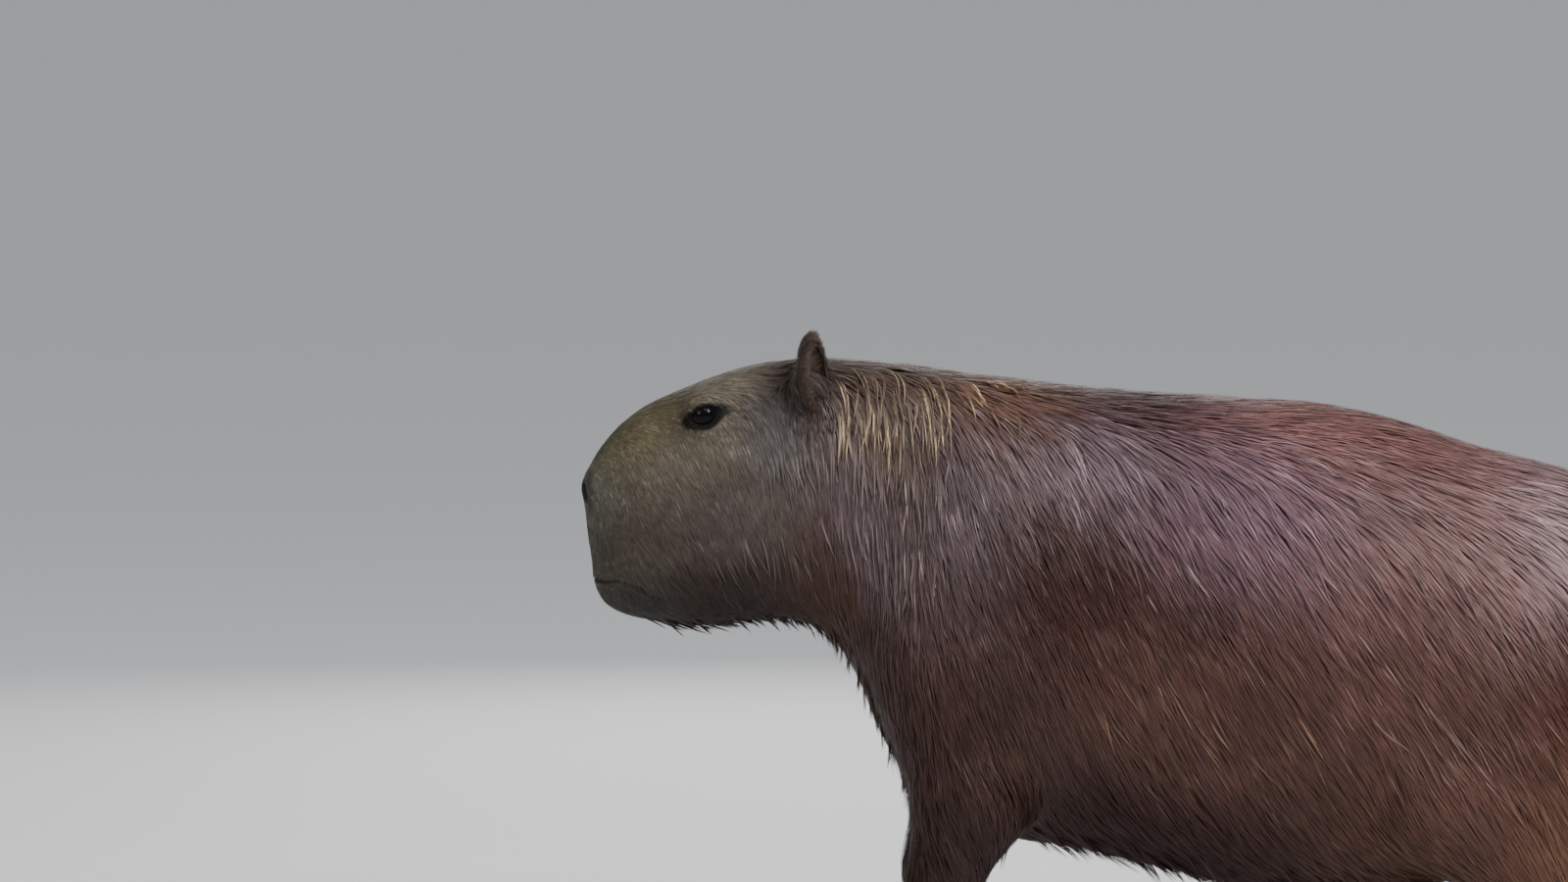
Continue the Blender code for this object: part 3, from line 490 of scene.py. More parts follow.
def mouth_distance(points, grid):
    """The distance from the line of the mouth, run over the surface."""
    half = np.array([*MOUTH_LINE, MOUTH_MIDDLE])
    at = np.linspace(0, len(half) - 1, MOUTH_STEPS)
    path = np.stack([np.interp(at, range(len(half)), axis) for axis in half.T], axis=1)
    path = settle(grid, path, 4)
    mirrored = np.where([False, True, False], np.abs(points), points)
    best = np.full(len(points), FAR)
    for a, b in zip(path, path[1:]):
        t = np.clip((mirrored - a) @ (b - a) / ((b - a) @ (b - a)), 0, 1)[:, None]
        best = np.minimum(best, np.linalg.norm(mirrored - a - t * (b - a), axis=1))
    return best


ORIGIN_SHIFT = np.array(sum(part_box("eye_left"), Vector()) / 2) - on_side(EYE, -1)


def link(name, data):
    """A new object of some data, in the scene."""
    made = bpy.data.objects.new(name, data)
    bpy.context.scene.collection.objects.link(made)
    return made


def add_mesh(name, points, faces, colours):
    """A smooth mesh object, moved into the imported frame, with its colours as the attribute pelt."""
    mesh = bpy.data.meshes.new(name)
    points = np.asarray(points, float) + ORIGIN_SHIFT
    if isinstance(faces, np.ndarray):
        count, sides = faces.shape
        mesh.vertices.add(len(points))
        mesh.vertices.foreach_set("co", points.astype(np.float32).ravel())
        mesh.loops.add(count * sides)
        mesh.loops.foreach_set("vertex_index", faces.astype(np.int32).ravel())
        mesh.polygons.add(count)
        mesh.polygons.foreach_set("loop_start", np.arange(0, count * sides, sides, dtype=np.int32))
        mesh.update(calc_edges=True)
    else:
        mesh.from_pydata(points.tolist(), [], faces)
    return finish_mesh(mesh, colours)


def finish_mesh(mesh, colours):
    """An object of a mesh, smooth and painted."""
    mesh.polygons.foreach_set("use_smooth", np.ones(len(mesh.polygons), bool))
    layer = mesh.color_attributes.new("pelt", "FLOAT_COLOR", "POINT")
    rows = np.ones((len(mesh.vertices), 4), np.float32)
    rows[:, :3] = np.clip(colours, 0, 1)
    layer.data.foreach_set("color", rows.ravel())
    return link(mesh.name, mesh)


# Where the skin's mesh is split finer, one test after another, each halving the edges.
HEAD_START = -0.355
FOOT_TOP = 0.040
MUZZLE_START = -0.518
EYE_REGION = (0.027, 0.021)
NOSTRIL_REGION = 2.0
MOUTH_REGION = 0.0055

# The parts of the coat's colour: place (x, share of the trunk's height), its reach, and the colour.
# Beside the coat's own colours they hold painted light: the lilac-grey neck, front of the shoulder, withers,
# upper flank and rump are painted sheen of wet hair in the light, the back and the top of the rump are
# partly painted sheen, and the very dark shoulder, belly and rump side are painted shade.
MARKINGS_AND_PAINTED_LIGHT = {
    "muzzle front": ((-0.560, 0.55), (0.030, 0.45), (0.078, 0.076, 0.058)),
    "snout": ((-0.500, 0.97), (0.040, 0.16), (0.084, 0.070, 0.036)),
    "brow": ((-0.430, 0.98), (0.030, 0.12), (0.115, 0.096, 0.066)),
    "under the eye": ((-0.440, 0.72), (0.040, 0.14), (0.105, 0.088, 0.062)),
    "crown": ((-0.370, 1.00), (0.040, 0.20), (0.040, 0.028, 0.020)),
    "temple": ((-0.375, 0.78), (0.032, 0.18), (0.062, 0.054, 0.050)),
    "ear base": ((-0.342, 0.88), (0.018, 0.07), (0.026, 0.018, 0.014)),
    "cheek": ((-0.415, 0.50), (0.050, 0.22), (0.066, 0.050, 0.043)),
    "upper lip": ((-0.515, 0.35), (0.035, 0.25), (0.049, 0.038, 0.029)),
    "chin": ((-0.500, 0.06), (0.040, 0.20), (0.028, 0.028, 0.024)),
    "jaw": ((-0.430, 0.10), (0.060, 0.22), (0.023, 0.014, 0.011)),
    "throat": ((-0.310, 0.15), (0.050, 0.35), (0.042, 0.018, 0.012)),
    "nape": ((-0.270, 0.92), (0.055, 0.20), (0.078, 0.050, 0.036)),
    "neck": ((-0.291, 0.56), (0.040, 0.22), (0.082, 0.056, 0.059)),
    "front of the shoulder": ((-0.198, 0.74), (0.050, 0.18), (0.084, 0.055, 0.057)),
    "crest": ((-0.170, 1.00), (0.060, 0.10), (0.090, 0.040, 0.022)),
    "withers": ((-0.090, 0.88), (0.060, 0.08), (0.120, 0.080, 0.090)),
    "back line": ((-0.060, 1.02), (0.070, 0.09), (0.034, 0.010, 0.007)),
    "back": ((0.150, 0.99), (0.130, 0.10), (0.152, 0.066, 0.057)),
    "top of the rump": ((0.360, 1.04), (0.100, 0.06), (0.180, 0.110, 0.104)),
    "shoulder": ((-0.120, 0.66), (0.080, 0.17), (0.030, 0.010, 0.007)),
    "upper flank": ((0.040, 0.82), (0.100, 0.12), (0.106, 0.055, 0.068)),
    "side of the loin": ((0.240, 0.78), (0.100, 0.15), (0.126, 0.062, 0.056)),
    "middle flank": ((0.000, 0.42), (0.130, 0.20), (0.067, 0.030, 0.023)),
    "upper arm": ((-0.200, 0.28), (0.060, 0.24), (0.038, 0.017, 0.013)),
    "elbow": ((-0.185, 0.08), (0.050, 0.14), (0.022, 0.009, 0.007)),
    "belly": ((0.000, 0.08), (0.170, 0.18), (0.021, 0.006, 0.005)),
    "rear flank": ((0.240, 0.42), (0.090, 0.24), (0.078, 0.037, 0.028)),
    "groin": ((0.190, 0.16), (0.080, 0.18), (0.072, 0.031, 0.020)),
    "rump": ((0.345, 0.87), (0.070, 0.15), (0.235, 0.150, 0.155)),
    "rump side": ((0.385, 0.50), (0.090, 0.26), (0.046, 0.015, 0.011)),
    "thigh": ((0.360, 0.16), (0.090, 0.25), (0.110, 0.050, 0.031)),
    "forelegs": ((-0.200, -0.25), (0.080, 0.25), (0.031, 0.014, 0.010)),
    "hind legs": ((0.360, -0.35), (0.100, 0.25), (0.044, 0.022, 0.015)),
}
BARE_NOSE = (0.034, 0.029, 0.027)
LID_COLOUR = (0.0060, 0.0050, 0.0050)
LIP_COLOUR = (0.024, 0.020, 0.017)
EYE_MARK_COLOUR = (0.009, 0.007, 0.007)
FOOT_COLOUR = (0.060, 0.047, 0.040)
# The skin's shade under the hair, and between which values its bare parts and the eyes' marks set in.
UNDER_SHADE = 0.85
BARE_FEET = (0.075, 0.030)
BARE_LIPS = (0.0060, 0.0020)
BARE_LIPS_END = -0.47
BARE_NOSTRIL = (1.6, 1.1)
BARE_LIDS = (1.34, 1.12)
EYE_MARK_EDGE = (1.15, 0.80)


def level_of(points):
    """The share of the trunk's height at each point: 0 on the under line and 1 on the top line."""
    x, _, z = points.T
    return (z - under_line(x)) / (top_line(x) - under_line(x))


def coat_colour(points):
    """The coat's colour at places, blended from the named markings with their painted sheen and shade."""
    x, level = points[:, 0], level_of(points)
    total, weights = np.zeros((len(points), 3)), np.full(len(points), 1e-9)
    for place, reach, colour in MARKINGS_AND_PAINTED_LIGHT.values():
        away = ((x - place[0]) / reach[0]) ** 2 + ((level - place[1]) / reach[1]) ** 2
        weight = 1 / (0.25 + away) ** 2
        total += weight[:, None] * np.array(colour)
        weights += weight
    mark = ramp(eye_mark(points), *EYE_MARK_EDGE)[:, None]
    colour = total / weights[:, None]
    return colour + (np.array(EYE_MARK_COLOUR) - colour) * mark


def eye_mark(points):
    """1 on the edge of the dark mark round each eye, and less inside it."""
    found, along, above = eye_level(points)
    level = (np.abs(along) / EYE_MARK[0]) ** EYE_MARK_POINT + (np.abs(above) / EYE_MARK[1]) ** 2
    return np.where(found < FAR, level, FAR)


def skin_colour(points):
    """The bare skin where the coat leaves it open, and a darker coat colour under the hair."""
    x, _, z = points.T
    colour = coat_colour(points) * UNDER_SHADE

    def over(share, new):
        return colour + (np.array(new) - colour) * np.clip(share, 0, 1)[:, None]

    colour = over(ramp(z, *BARE_FEET) * 0.8, FOOT_COLOUR)
    colour = over(on_nose(points, *NOSE_SKIN), BARE_NOSE)
    colour = over(ramp(mouth_distance(points, skin_grid), *BARE_LIPS) * (x < BARE_LIPS_END), LIP_COLOUR)
    # The cleft and the nostrils are painted darker than the bare nose, as shade in the crease and the
    # hollows.
    colour = over(cleft(points) * 0.8, np.array(BARE_NOSE) * 0.6)
    colour = over(ramp(nostril_level(points, skin_grid), *BARE_NOSTRIL), np.array(BARE_NOSE) * 0.5)
    return over(ramp(eye_level(points)[0], *BARE_LIDS), LID_COLOUR)


def slope(points):
    """The skin's field and its gradient at points."""
    step = 0.0004
    here = skin_field(points)
    ahead = [skin_field(points + step * axis) for axis in np.eye(3)]
    return here, (np.stack(ahead, axis=1) - here[:, None]) / step


def refine(shape, wanted):
    """Splits the faces whose corners are all wanted into quarters."""
    shape.verts.index_update()
    edges = [edge for edge in shape.edges if all(wanted[vertex.index] for vertex in edge.verts)]
    bmesh.ops.subdivide_edges(shape, edges=edges, cuts=1, use_grid_fill=True)


def places_of(shape):
    return np.array([vertex.co for vertex in shape.verts])


def cleft(points):
    """1 along the cleft from the nose to the mouth, and 0 away from it."""
    x, y, z = points.T
    return bump(y, CLEFT_WIDTH) * ramp(z, *CLEFT_FOOT) * ramp(z, *CLEFT_TOP) * (x < CLEFT_END)


def on_nose(points, front, foot, top):
    """1 on the bare pad of the nose, and 0 away from it."""
    x, _, z = points.T
    return ramp(x, *front) * ramp(z, *foot) * ramp(z, *top)


def ridge(value, height, at, width):
    """A ridge round the places where a value is at its crest."""
    return height * bump(value - at, width)


def press_details(points, normals):
    """The lids' opening and folds, the nostrils and the mouth, pressed into smooth skin."""
    level, _, above = eye_level(points)
    centre = np.array(EYE) * np.where([False, True, False], np.sign(points), 1)
    out = points - centre
    far = np.linalg.norm(out, axis=1)
    inside = ramp(level, *LID_OPENING) * (np.abs(points[:, 1]) > EYE[1])
    sunk = far + (EYE_RADIUS - LID_REACH - far) * inside
    lift = ridge(level, *LID_EDGE)
    for depth, at, width, heights in LID_FOLDS:
        lift -= ridge(level, depth, at, width) * ramp(above, *heights)
    nostril = nostril_level(points, skin_grid)
    lift += ridge(nostril, *NOSTRIL_RIM) - NOSTRIL_DEPTH * ramp(nostril, *NOSTRIL_HOLLOW)
    lift -= CLEFT_DEPTH * cleft(points)
    mouth = mouth_distance(points, skin_grid)
    lift += ridge(mouth, *LIP_RIDGE) - MOUTH_DEPTH * bump(mouth, MOUTH_WIDTH)
    moved = points + normals * lift[:, None]
    eyes = (inside > 0)[:, None]
    return np.where(eyes, centre + out / far[:, None] * sunk[:, None], moved)


def make_skin():
    """One closed skin over the whole body, finest round the eyes, nostrils and mouth."""
    points, quads = surface(skin_grid[0], skin_grid[1], SKIN_VOXEL)
    coarse = (settle(skin_grid, points.astype(float)), quads)
    mesh = bpy.data.meshes.new("skin")
    mesh.from_pydata(coarse[0].tolist(), [], quads.tolist())
    shape = bmesh.new()
    shape.from_mesh(mesh)
    tests = (
        lambda p: (p[:, 0] < HEAD_START) | (p[:, 2] < FOOT_TOP),
        lambda p: (p[:, 0] < MUZZLE_START) | (distance_to(EYE, p) < EYE_REGION[0]),
        lambda p: (distance_to(EYE, p) < EYE_REGION[1]) | (nostril_level(p, skin_grid) < NOSTRIL_REGION)
        | (mouth_distance(p, skin_grid) < MOUTH_REGION) | (cleft(p) > 0.05),
    )
    for test in tests:
        refine(shape, test(places_of(shape)))
    places = places_of(shape)
    fine = tests[0](places)
    for _ in range(3):
        value, gradient = slope(places[fine])
        steep = (gradient**2).sum(axis=1)[:, None] + 1e-9
        places[fine] -= np.clip(value[:, None] * gradient / steep, -SKIN_VOXEL, SKIN_VOXEL)
    places[fine] = press_details(places[fine], unit(slope(places[fine])[1]))
    for vertex, place in zip(shape.verts, places):
        vertex.co = place
    bmesh.ops.triangulate(shape, faces=[face for face in shape.faces if len(face.verts) > 4])
    shape.to_mesh(mesh)
    shape.free()
    mesh.transform(Matrix.Translation(ORIGIN_SHIFT))
    return finish_mesh(mesh, skin_colour(places)), coarse


EAR_VOXEL = 0.0012
# The ear's skin outside, and deep inside the cup darker as painted shade in the hollow.
EAR_SKIN = np.array(((0.060, 0.042, 0.033), (0.014, 0.010, 0.009)))
EAR_LIMITS = ((-0.034, -0.026, -0.040), (0.034, 0.030, 0.040))
# The ribs on the cup's floor, the rolled rim, and how round the ear's edge is.
RIB_HEIGHT = 0.0007
RIB_STEP = 0.0052
RIB_START = 1.2
RIB_WIDTH = 0.012
RIB_TOP = (0.022, 0.004)
EAR_RIM_HEIGHT = 0.0010
EAR_RIM_WIDTH = 0.003
EAR_EDGE = 0.0026


def ear_field(local):
    """A cupped ear in its own frame, its rim rolled and its floor ribbed."""
    x, y, z = local.T
    outer = ellipsoid_field(x, y, z, (0, 0, 0), EAR_RADII)
    cup = ellipsoid_field(x, y, z, EAR_CUP_SHIFT, EAR_CUP_RADII)
    ribs = RIB_HEIGHT * np.sin(z / RIB_STEP + RIB_START) * bump(x, RIB_WIDTH) * ramp(z, *RIB_TOP)
    rim = EAR_RIM_HEIGHT * bump(cup, EAR_RIM_WIDTH)
    return -blend(rim - outer, cup - ribs, EAR_EDGE)


def make_ear(side, away):
    """The ear's whole cup, its root sunk in the head."""
    root, tip, _, turn = ear_frame(away)
    grid = field_grid(ear_field, *EAR_LIMITS, EAR_VOXEL)
    points, quads = surface(grid, EAR_LIMITS[0], EAR_VOXEL)
    # Deep in the cup the skin is painted darker, as shade in the hollow.
    deep = ramp(points[:, 1], -0.004, 0.003) * (np.linalg.norm(points / np.array(EAR_RADII), axis=1) < 0.97)
    colour = EAR_SKIN[0] + (EAR_SKIN[1] - EAR_SKIN[0]) * deep[:, None]
    placed = root + (tip - root) * EAR_CENTRE + points @ turn.T
    if np.linalg.det(turn) < 0:
        quads = quads[:, ::-1]
    return add_mesh("ear_skin_" + side, placed, quads, colour)


def band_faces(rows, sides):
    """The quads between rows of points, each row running once round."""
    faces = []
    for row in range(rows - 1):
        for k in range(sides):
            a, b = row * sides + k, row * sides + (k + 1) % sides
            faces.append((a, b, b + sides, a + sides))
    return faces


EYE_RINGS = 40
EYE_TURNS = 64
# The eye ball's radius behind and the bulge of its clear front, as shares, and how wide the bulge is.
EYE_BACK = 0.985
EYE_BULGE = 0.035
EYE_BULGE_WIDTH = 0.75
# The angles from the eye's axis between which the iris sets in and ends.
IRIS_EDGES = ((0.62, 0.70), (0.98, 0.92))
PUPIL_COLOUR = (0.0022, 0.0019, 0.0019)
IRIS_COLOUR = (0.0070, 0.0036, 0.0018)


def make_eye(side, away):
    """A glossy eye ball: a dark iris with fine rays round a wide pupil, under a clear bulged front."""
    rings, turns = EYE_RINGS, EYE_TURNS
    polar = np.linspace(0, math.pi, rings + 1)[1:-1]
    around = np.linspace(0, 2 * math.pi, turns, endpoint=False)
    p, a = np.meshgrid(polar, around, indexing="ij")
    reach = EYE_RADIUS * (EYE_BACK + EYE_BULGE * bump(p, EYE_BULGE_WIDTH))
    flat = reach * np.sin(p)
    ball = np.stack([flat * np.cos(a), reach * np.cos(p), flat * np.sin(a)], axis=-1)
    ball = ball.reshape(-1, 3) * np.array([1, away, 1])
    poles = EYE_RADIUS * away * np.array([[0, EYE_BACK + EYE_BULGE, 0], [0, -EYE_BACK, 0]])
    faces = [face[::away] for face in band_faces(rings - 1, turns)]
    first, last = len(ball), len(ball) + 1
    for k in range(turns):
        after = (k + 1) % turns
        top, bottom = (first, after, k), (last, (rings - 2) * turns + k, (rings - 2) * turns + after)
        faces += [top[::away], bottom[::away]]
    inner, outer = IRIS_EDGES
    iris = ramp(p, *inner) * ramp(p, *outer)
    rays = 0.7 + 0.3 * np.sin(31 * a) * np.sin(7 * a + 1.0)
    colour = np.array(PUPIL_COLOUR) + (iris * rays)[..., None] * np.array(IRIS_COLOUR)
    colour = np.concatenate([colour.reshape(-1, 3), np.tile(PUPIL_COLOUR, (2, 1))])
    return add_mesh("eye_ball_" + side, np.concatenate([ball, poles]) + on_side(EYE, away), faces, colour)


CLAW_SIDES = 20
CLAW_STEPS = 16
# Along the claw: the height of its middle over the floor, its half width and its half depth.
CLAW_HEIGHT = ((0, 0.0116), (0.4, 0.0113), (0.75, 0.0088), (1, 0.0050))
CLAW_WIDTH = ((0, 0.0066), (0.4, 0.0065), (0.75, 0.0053), (0.95, 0.0030), (1, 0.0012))
CLAW_DEPTH = ((0, 0.0060), (0.4, 0.0060), (0.75, 0.0042), (0.95, 0.0024), (1, 0.0010))
CLAW_RIDGES = 9
CLAW_RIDGE_HEIGHT = 0.025
CLAW_FLATNESS = 0.75
CLAW_COLOUR = (0.050, 0.040, 0.034)
CLAW_TONES = (0.75, 1.25)


def make_claw(name, number, knuckle, tip, away):
    """A blunt hoof-like nail, ridged along its length, over the end of a toe."""
    ahead = np.array([tip[0] - knuckle[0], (tip[1] - knuckle[1]) * away, 0])
    ahead /= np.linalg.norm(ahead)
    across = np.array([-ahead[1], ahead[0], 0])
    start = np.array([tip[0], tip[1] * away, 0])
    share = np.linspace(0, 1, CLAW_STEPS)
    reach = -CLAW_ROOT + (CLAW_LENGTH + CLAW_ROOT) * share
    centre = start + reach[:, None] * ahead + read_off(CLAW_HEIGHT, share)[:, None] * np.array([0, 0, 1])
    angle = np.linspace(0, 2 * math.pi, CLAW_SIDES, endpoint=False)
    ridges = 1 + CLAW_RIDGE_HEIGHT * np.cos(CLAW_RIDGES * angle)
    aside = np.cos(angle) * ridges
    upward = np.sin(angle) * ridges * np.where(np.sin(angle) < 0, CLAW_FLATNESS, 1.0)
    points = centre[:, None] + np.outer(read_off(CLAW_WIDTH, share), aside)[..., None] * across
    points = points + np.outer(read_off(CLAW_DEPTH, share), upward)[..., None] * np.array([0, 0, 1])
    points = points.reshape(-1, 3)
    points[:, 2] = np.maximum(points[:, 2], SOLE)
    faces = band_faces(CLAW_STEPS, CLAW_SIDES)
    faces.append(tuple(range(CLAW_SIDES))[::-1])
    faces.append(tuple(range(len(points) - CLAW_SIDES, len(points))))
    tone = np.repeat(np.interp(share, (0, 1), CLAW_TONES), CLAW_SIDES)[:, None]
    return add_mesh(f"nail_{name}_{number}", points, faces, np.array(CLAW_COLOUR) * tone)


# The coat along the body: length, width of a blade and spacing of the locks, and its length down the legs.
HAIR_LENGTH = (
    (-0.56, 0.0080), (-0.50, 0.0110), (-0.43, 0.0165), (-0.36, 0.0290), (-0.28, 0.0400),
    (0.10, 0.0500), (0.45, 0.0540),
)
HAIR_WIDTH = ((-0.56, 0.00024), (-0.43, 0.00030), (-0.33, 0.00040), (-0.22, 0.00050), (0.45, 0.00055))
LOCK_SPACING = ((-0.56, 0.0027), (-0.43, 0.0037), (-0.34, 0.0050), (-0.24, 0.0060), (0.45, 0.0066))
LEG_LENGTH = ((0.00, 0.15), (0.05, 0.22), (0.13, 0.45), (0.22, 1.00))
TRACE_STEPS = 6
UV_PATCH = 0.003
# A blade's share of its lock's length, how deep its root is sunk, its roll, and its width from root to tip.
BLADE_SHARE = (0.62, 0.92)
ROOT_DEPTH = 0.0006
BLADE_ROLL = 0.14
BLADE_TAPER = ((0, 0.75), (0.25, 1.0), (0.7, 0.85), (1, 0.0))


def unwrap(points, triangles):
    """A flat unwrap of a stretch of skin: the place of each triangle's corners on the unit square."""
    mesh = bpy.data.meshes.new("unwrap")
    mesh.from_pydata(points.tolist(), [], triangles.tolist())
    made = link("unwrap", mesh)
    bpy.context.view_layer.objects.active = made
    mesh.uv_layers.new(name="OFBake")
    bpy.ops.object.mode_set(mode="EDIT")
    bpy.ops.mesh.select_all(action="SELECT")
    bpy.ops.uv.smart_project(angle_limit=math.radians(66), island_margin=0.004)
    bpy.ops.object.mode_set(mode="OBJECT")
    found = np.zeros(len(mesh.loops) * 2, np.float32)
    mesh.uv_layers[0].uv.foreach_get("vector", found)
    bpy.data.objects.remove(made)
    bpy.data.meshes.remove(mesh)
    return found.reshape(-1, 3, 2).astype(float)


def scatter(corners, wanted, chance):
    """Even random places on triangles, wanted of each: the triangle's number and the place."""
    total = np.cumsum(wanted)
    count = int(total[-1])
    at = (np.arange(count) + chance.uniform(0, 1, count)) * total[-1] / count
    face = np.clip(np.searchsorted(total, at), 0, len(wanted) - 1)
    u, v = chance.uniform(0, 1, (2, count))
    over = u + v > 1
    u, v = np.where(over, 1 - u, u), np.where(over, 1 - v, v)
    a, b, c = (corners[face, k] for k in range(3))
    return face, a + u[:, None] * (b - a) + v[:, None] * (c - a)


def comb(points, lengths, sway, drop=0.0):
    """The paths of locks over the skin: places, outward directions and ways, root to tip."""
    track = []
    for step in range(TRACE_STEPS + 1):
        normals = normals_at(skin_grid, points)
        way = lie(points, normals)
        pull = np.array([0, 0, -1.0]) - normals * (-normals[:, 2:])
        way = way * (1 - drop) + pull * drop
        bend = (sway * math.cos(1.5 * math.pi * step / TRACE_STEPS))[:, None]
        way = way * np.cos(bend) + np.cross(normals, way) * np.sin(bend)
        way = unit(way, 1e-9)
        track.append((points, normals, way))
        points = settle(skin_grid, points + way * (lengths / TRACE_STEPS)[:, None], rounds=1)
    return [np.stack(rows, axis=1) for rows in zip(*track)]


def along_track(rows, lock, at):
    """A track's values at places along it, at being in steps."""
    base = np.clip(at.astype(int), 0, TRACE_STEPS - 1)
    part = (at - base)[..., None]
    return rows[lock[:, None], base] * (1 - part) + rows[lock[:, None], base + 1] * part


def grow(track, spread, lengths, widths, depth, blades, shares, clump, rise, chance, roof=None):
    """Blades in locks: a flat tapered tuft each, drawn to its lock's tip, and ridged as high as roof says."""
    count = len(lengths)
    lock = np.repeat(np.arange(count), blades)
    u = chance.uniform(-1, 1, len(lock))
    v = chance.uniform(0, 1, len(lock))
    own = chance.uniform(*BLADE_SHARE, len(lock)) * lengths[lock]
    start = v * (lengths[lock] - own)
    shares = np.array(shares)
    at = (start[:, None] + own[:, None] * shares) / lengths[lock][:, None] * TRACE_STEPS
    centre, normal, way = (along_track(rows, lock, np.clip(at, 0, TRACE_STEPS - 1e-6)) for rows in track)
    across = np.cross(normal, way)
    aside = (spread[lock] * u)[:, None] * (1 - clump * shares**1.4)
    layer = chance.uniform(0.45, 1.0, len(lock)) * (1 - 0.30 * u * u)
    height = depth[lock][:, None] * layer[:, None] * (1 - (1 - shares) ** 2) - ROOT_DEPTH * (1 - shares)
    height = height + rise[lock][:, None] * (at / TRACE_STEPS) ** 2.2
    centre = centre + across * aside[..., None] + normal * height[..., None]
    roll = chance.normal(0, BLADE_ROLL, len(lock))[:, None, None]
    flat = across * np.cos(roll) + normal * np.sin(roll)
    crown = normal * np.cos(roll) - across * np.sin(roll)
    half = widths[lock][:, None] * chance.uniform(0.7, 1.25, len(lock))[:, None]
    half = (half * read_off(BLADE_TAPER, shares))[..., None]
    edges = [centre - flat * half, centre + flat * half]
    if roof:
        edges.insert(1, centre + crown * half * roof)
    rows = len(shares) - 1
    body = np.stack(edges, axis=2)[:, :rows].reshape(len(lock), rows * len(edges), 3)
    return np.concatenate([body, centre[:, -1:]], axis=1), lock, start


def skin_triangles(coarse):
    """The coarse skin's points and triangles, the triangles' corners and their middles."""
    points, quads = coarse
    triangles = np.concatenate([quads[:, [0, 1, 2]], quads[:, [0, 2, 3]]])
    corners = points[triangles]
    return points, triangles, corners, corners.mean(axis=1)


def blade_faces(rows, wide):
    """The triangles of one blade with so many rows of so many vertices and a tip."""
    faces = []
    for row in range(rows - 1):
        for k in range(wide - 1):
            a = row * wide + k
            faces += [(a, a + 1, a + wide + 1), (a, a + wide + 1, a + wide)]
    last = (rows - 1) * wide
    return np.array(faces + [(last + k, last + k + 1, rows * wide) for k in range(wide - 1)])


def add_tufts(name, points, colours, uvs, shares):
    """One mesh of many tufts, each a small patch of the unwrap at its root."""
    count, each = points.shape[:2]
    rows = len(shares) - 1
    wide = (each - 1) // rows
    faces = (blade_faces(rows, wide)[None] + (np.arange(count) * each)[:, None, None]).reshape(-1, 3)
    made = add_mesh(name, points.reshape(-1, 3), faces, colours.reshape(-1, 3))
    side = np.append(np.tile(np.linspace(0, 1, wide), rows), 0.5)
    up = np.append(np.repeat(shares[:-1], wide), 1.0)
    patch = np.stack([side - 0.5, up - 0.5], axis=1) * UV_PATCH
    corners = (uvs[:, None] + patch[None]).reshape(-1, 2)[faces.ravel()]
    layer = made.data.uv_layers.new(name="OFBake")
    layer.uv.foreach_set("vector", np.clip(corners, 0, 1).astype(np.float32).ravel())
    return made


def root_places(uv, corners, face, offset):
    """The unwrap's place at points offset from a triangle's first corner."""
    e1, e2 = corners[face, 1] - corners[face, 0], corners[face, 2] - corners[face, 0]
    d1, d2 = uv[face, 1] - uv[face, 0], uv[face, 2] - uv[face, 0]
    a11, a12, a22 = (e1 * e1).sum(1), (e1 * e2).sum(1), (e2 * e2).sum(1)
    b1, b2 = (offset * e1).sum(1), (offset * e2).sum(1)
    scale = a11 * a22 - a12 * a12 + 1e-16
    s, t = (a22 * b1 - a12 * b2) / scale, (a11 * b2 - a12 * b1) / scale
    return uv[face, 0] + s[:, None] * d1 + t[:, None] * d2


# How far along a blade its rows are.
SHORT_SHARES = (0.0, 0.45, 1.0)
LONG_SHARES = (0.0, 0.3, 0.65, 1.0)
# The coat's pieces: the stretch of x, the sides, whether it is of the legs, a lock's blades and their rows.
BOTH_SIDES = (-1.0, 1.0)
EACH_SIDE = (("_left", (-1.0, 0.0)), ("_right", (0.0, 1.0)))
ZONES = {
    "coat_face": ((-0.60, -0.425), BOTH_SIDES, False, 9, SHORT_SHARES),
    "coat_cheeks": ((-0.425, -0.335), BOTH_SIDES, False, 12, SHORT_SHARES),
    "coat_neck": ((-0.335, -0.225), BOTH_SIDES, False, 6, LONG_SHARES),
    **{"coat_shoulder" + end: ((-0.225, -0.020), side, False, 6, LONG_SHARES) for end, side in EACH_SIDE},
    **{"coat_flank" + end: ((-0.020, 0.185), side, False, 6, LONG_SHARES) for end, side in EACH_SIDE},
    **{"coat_rump" + end: ((0.185, 0.60), side, False, 5, LONG_SHARES) for end, side in EACH_SIDE},
    "coat_forelegs": ((-0.60, 0.05), BOTH_SIDES, True, 4, SHORT_SHARES),
    "coat_hind_legs": ((0.05, 0.60), BOTH_SIDES, True, 4, SHORT_SHARES),
}
LEG_SPACING = ((0.00, 0.42), (0.05, 0.50), (0.13, 0.70), (0.22, 1.00))
LEG_WIDTH = ((0.00, 0.55), (0.05, 0.60), (0.13, 0.75), (0.22, 1.00))
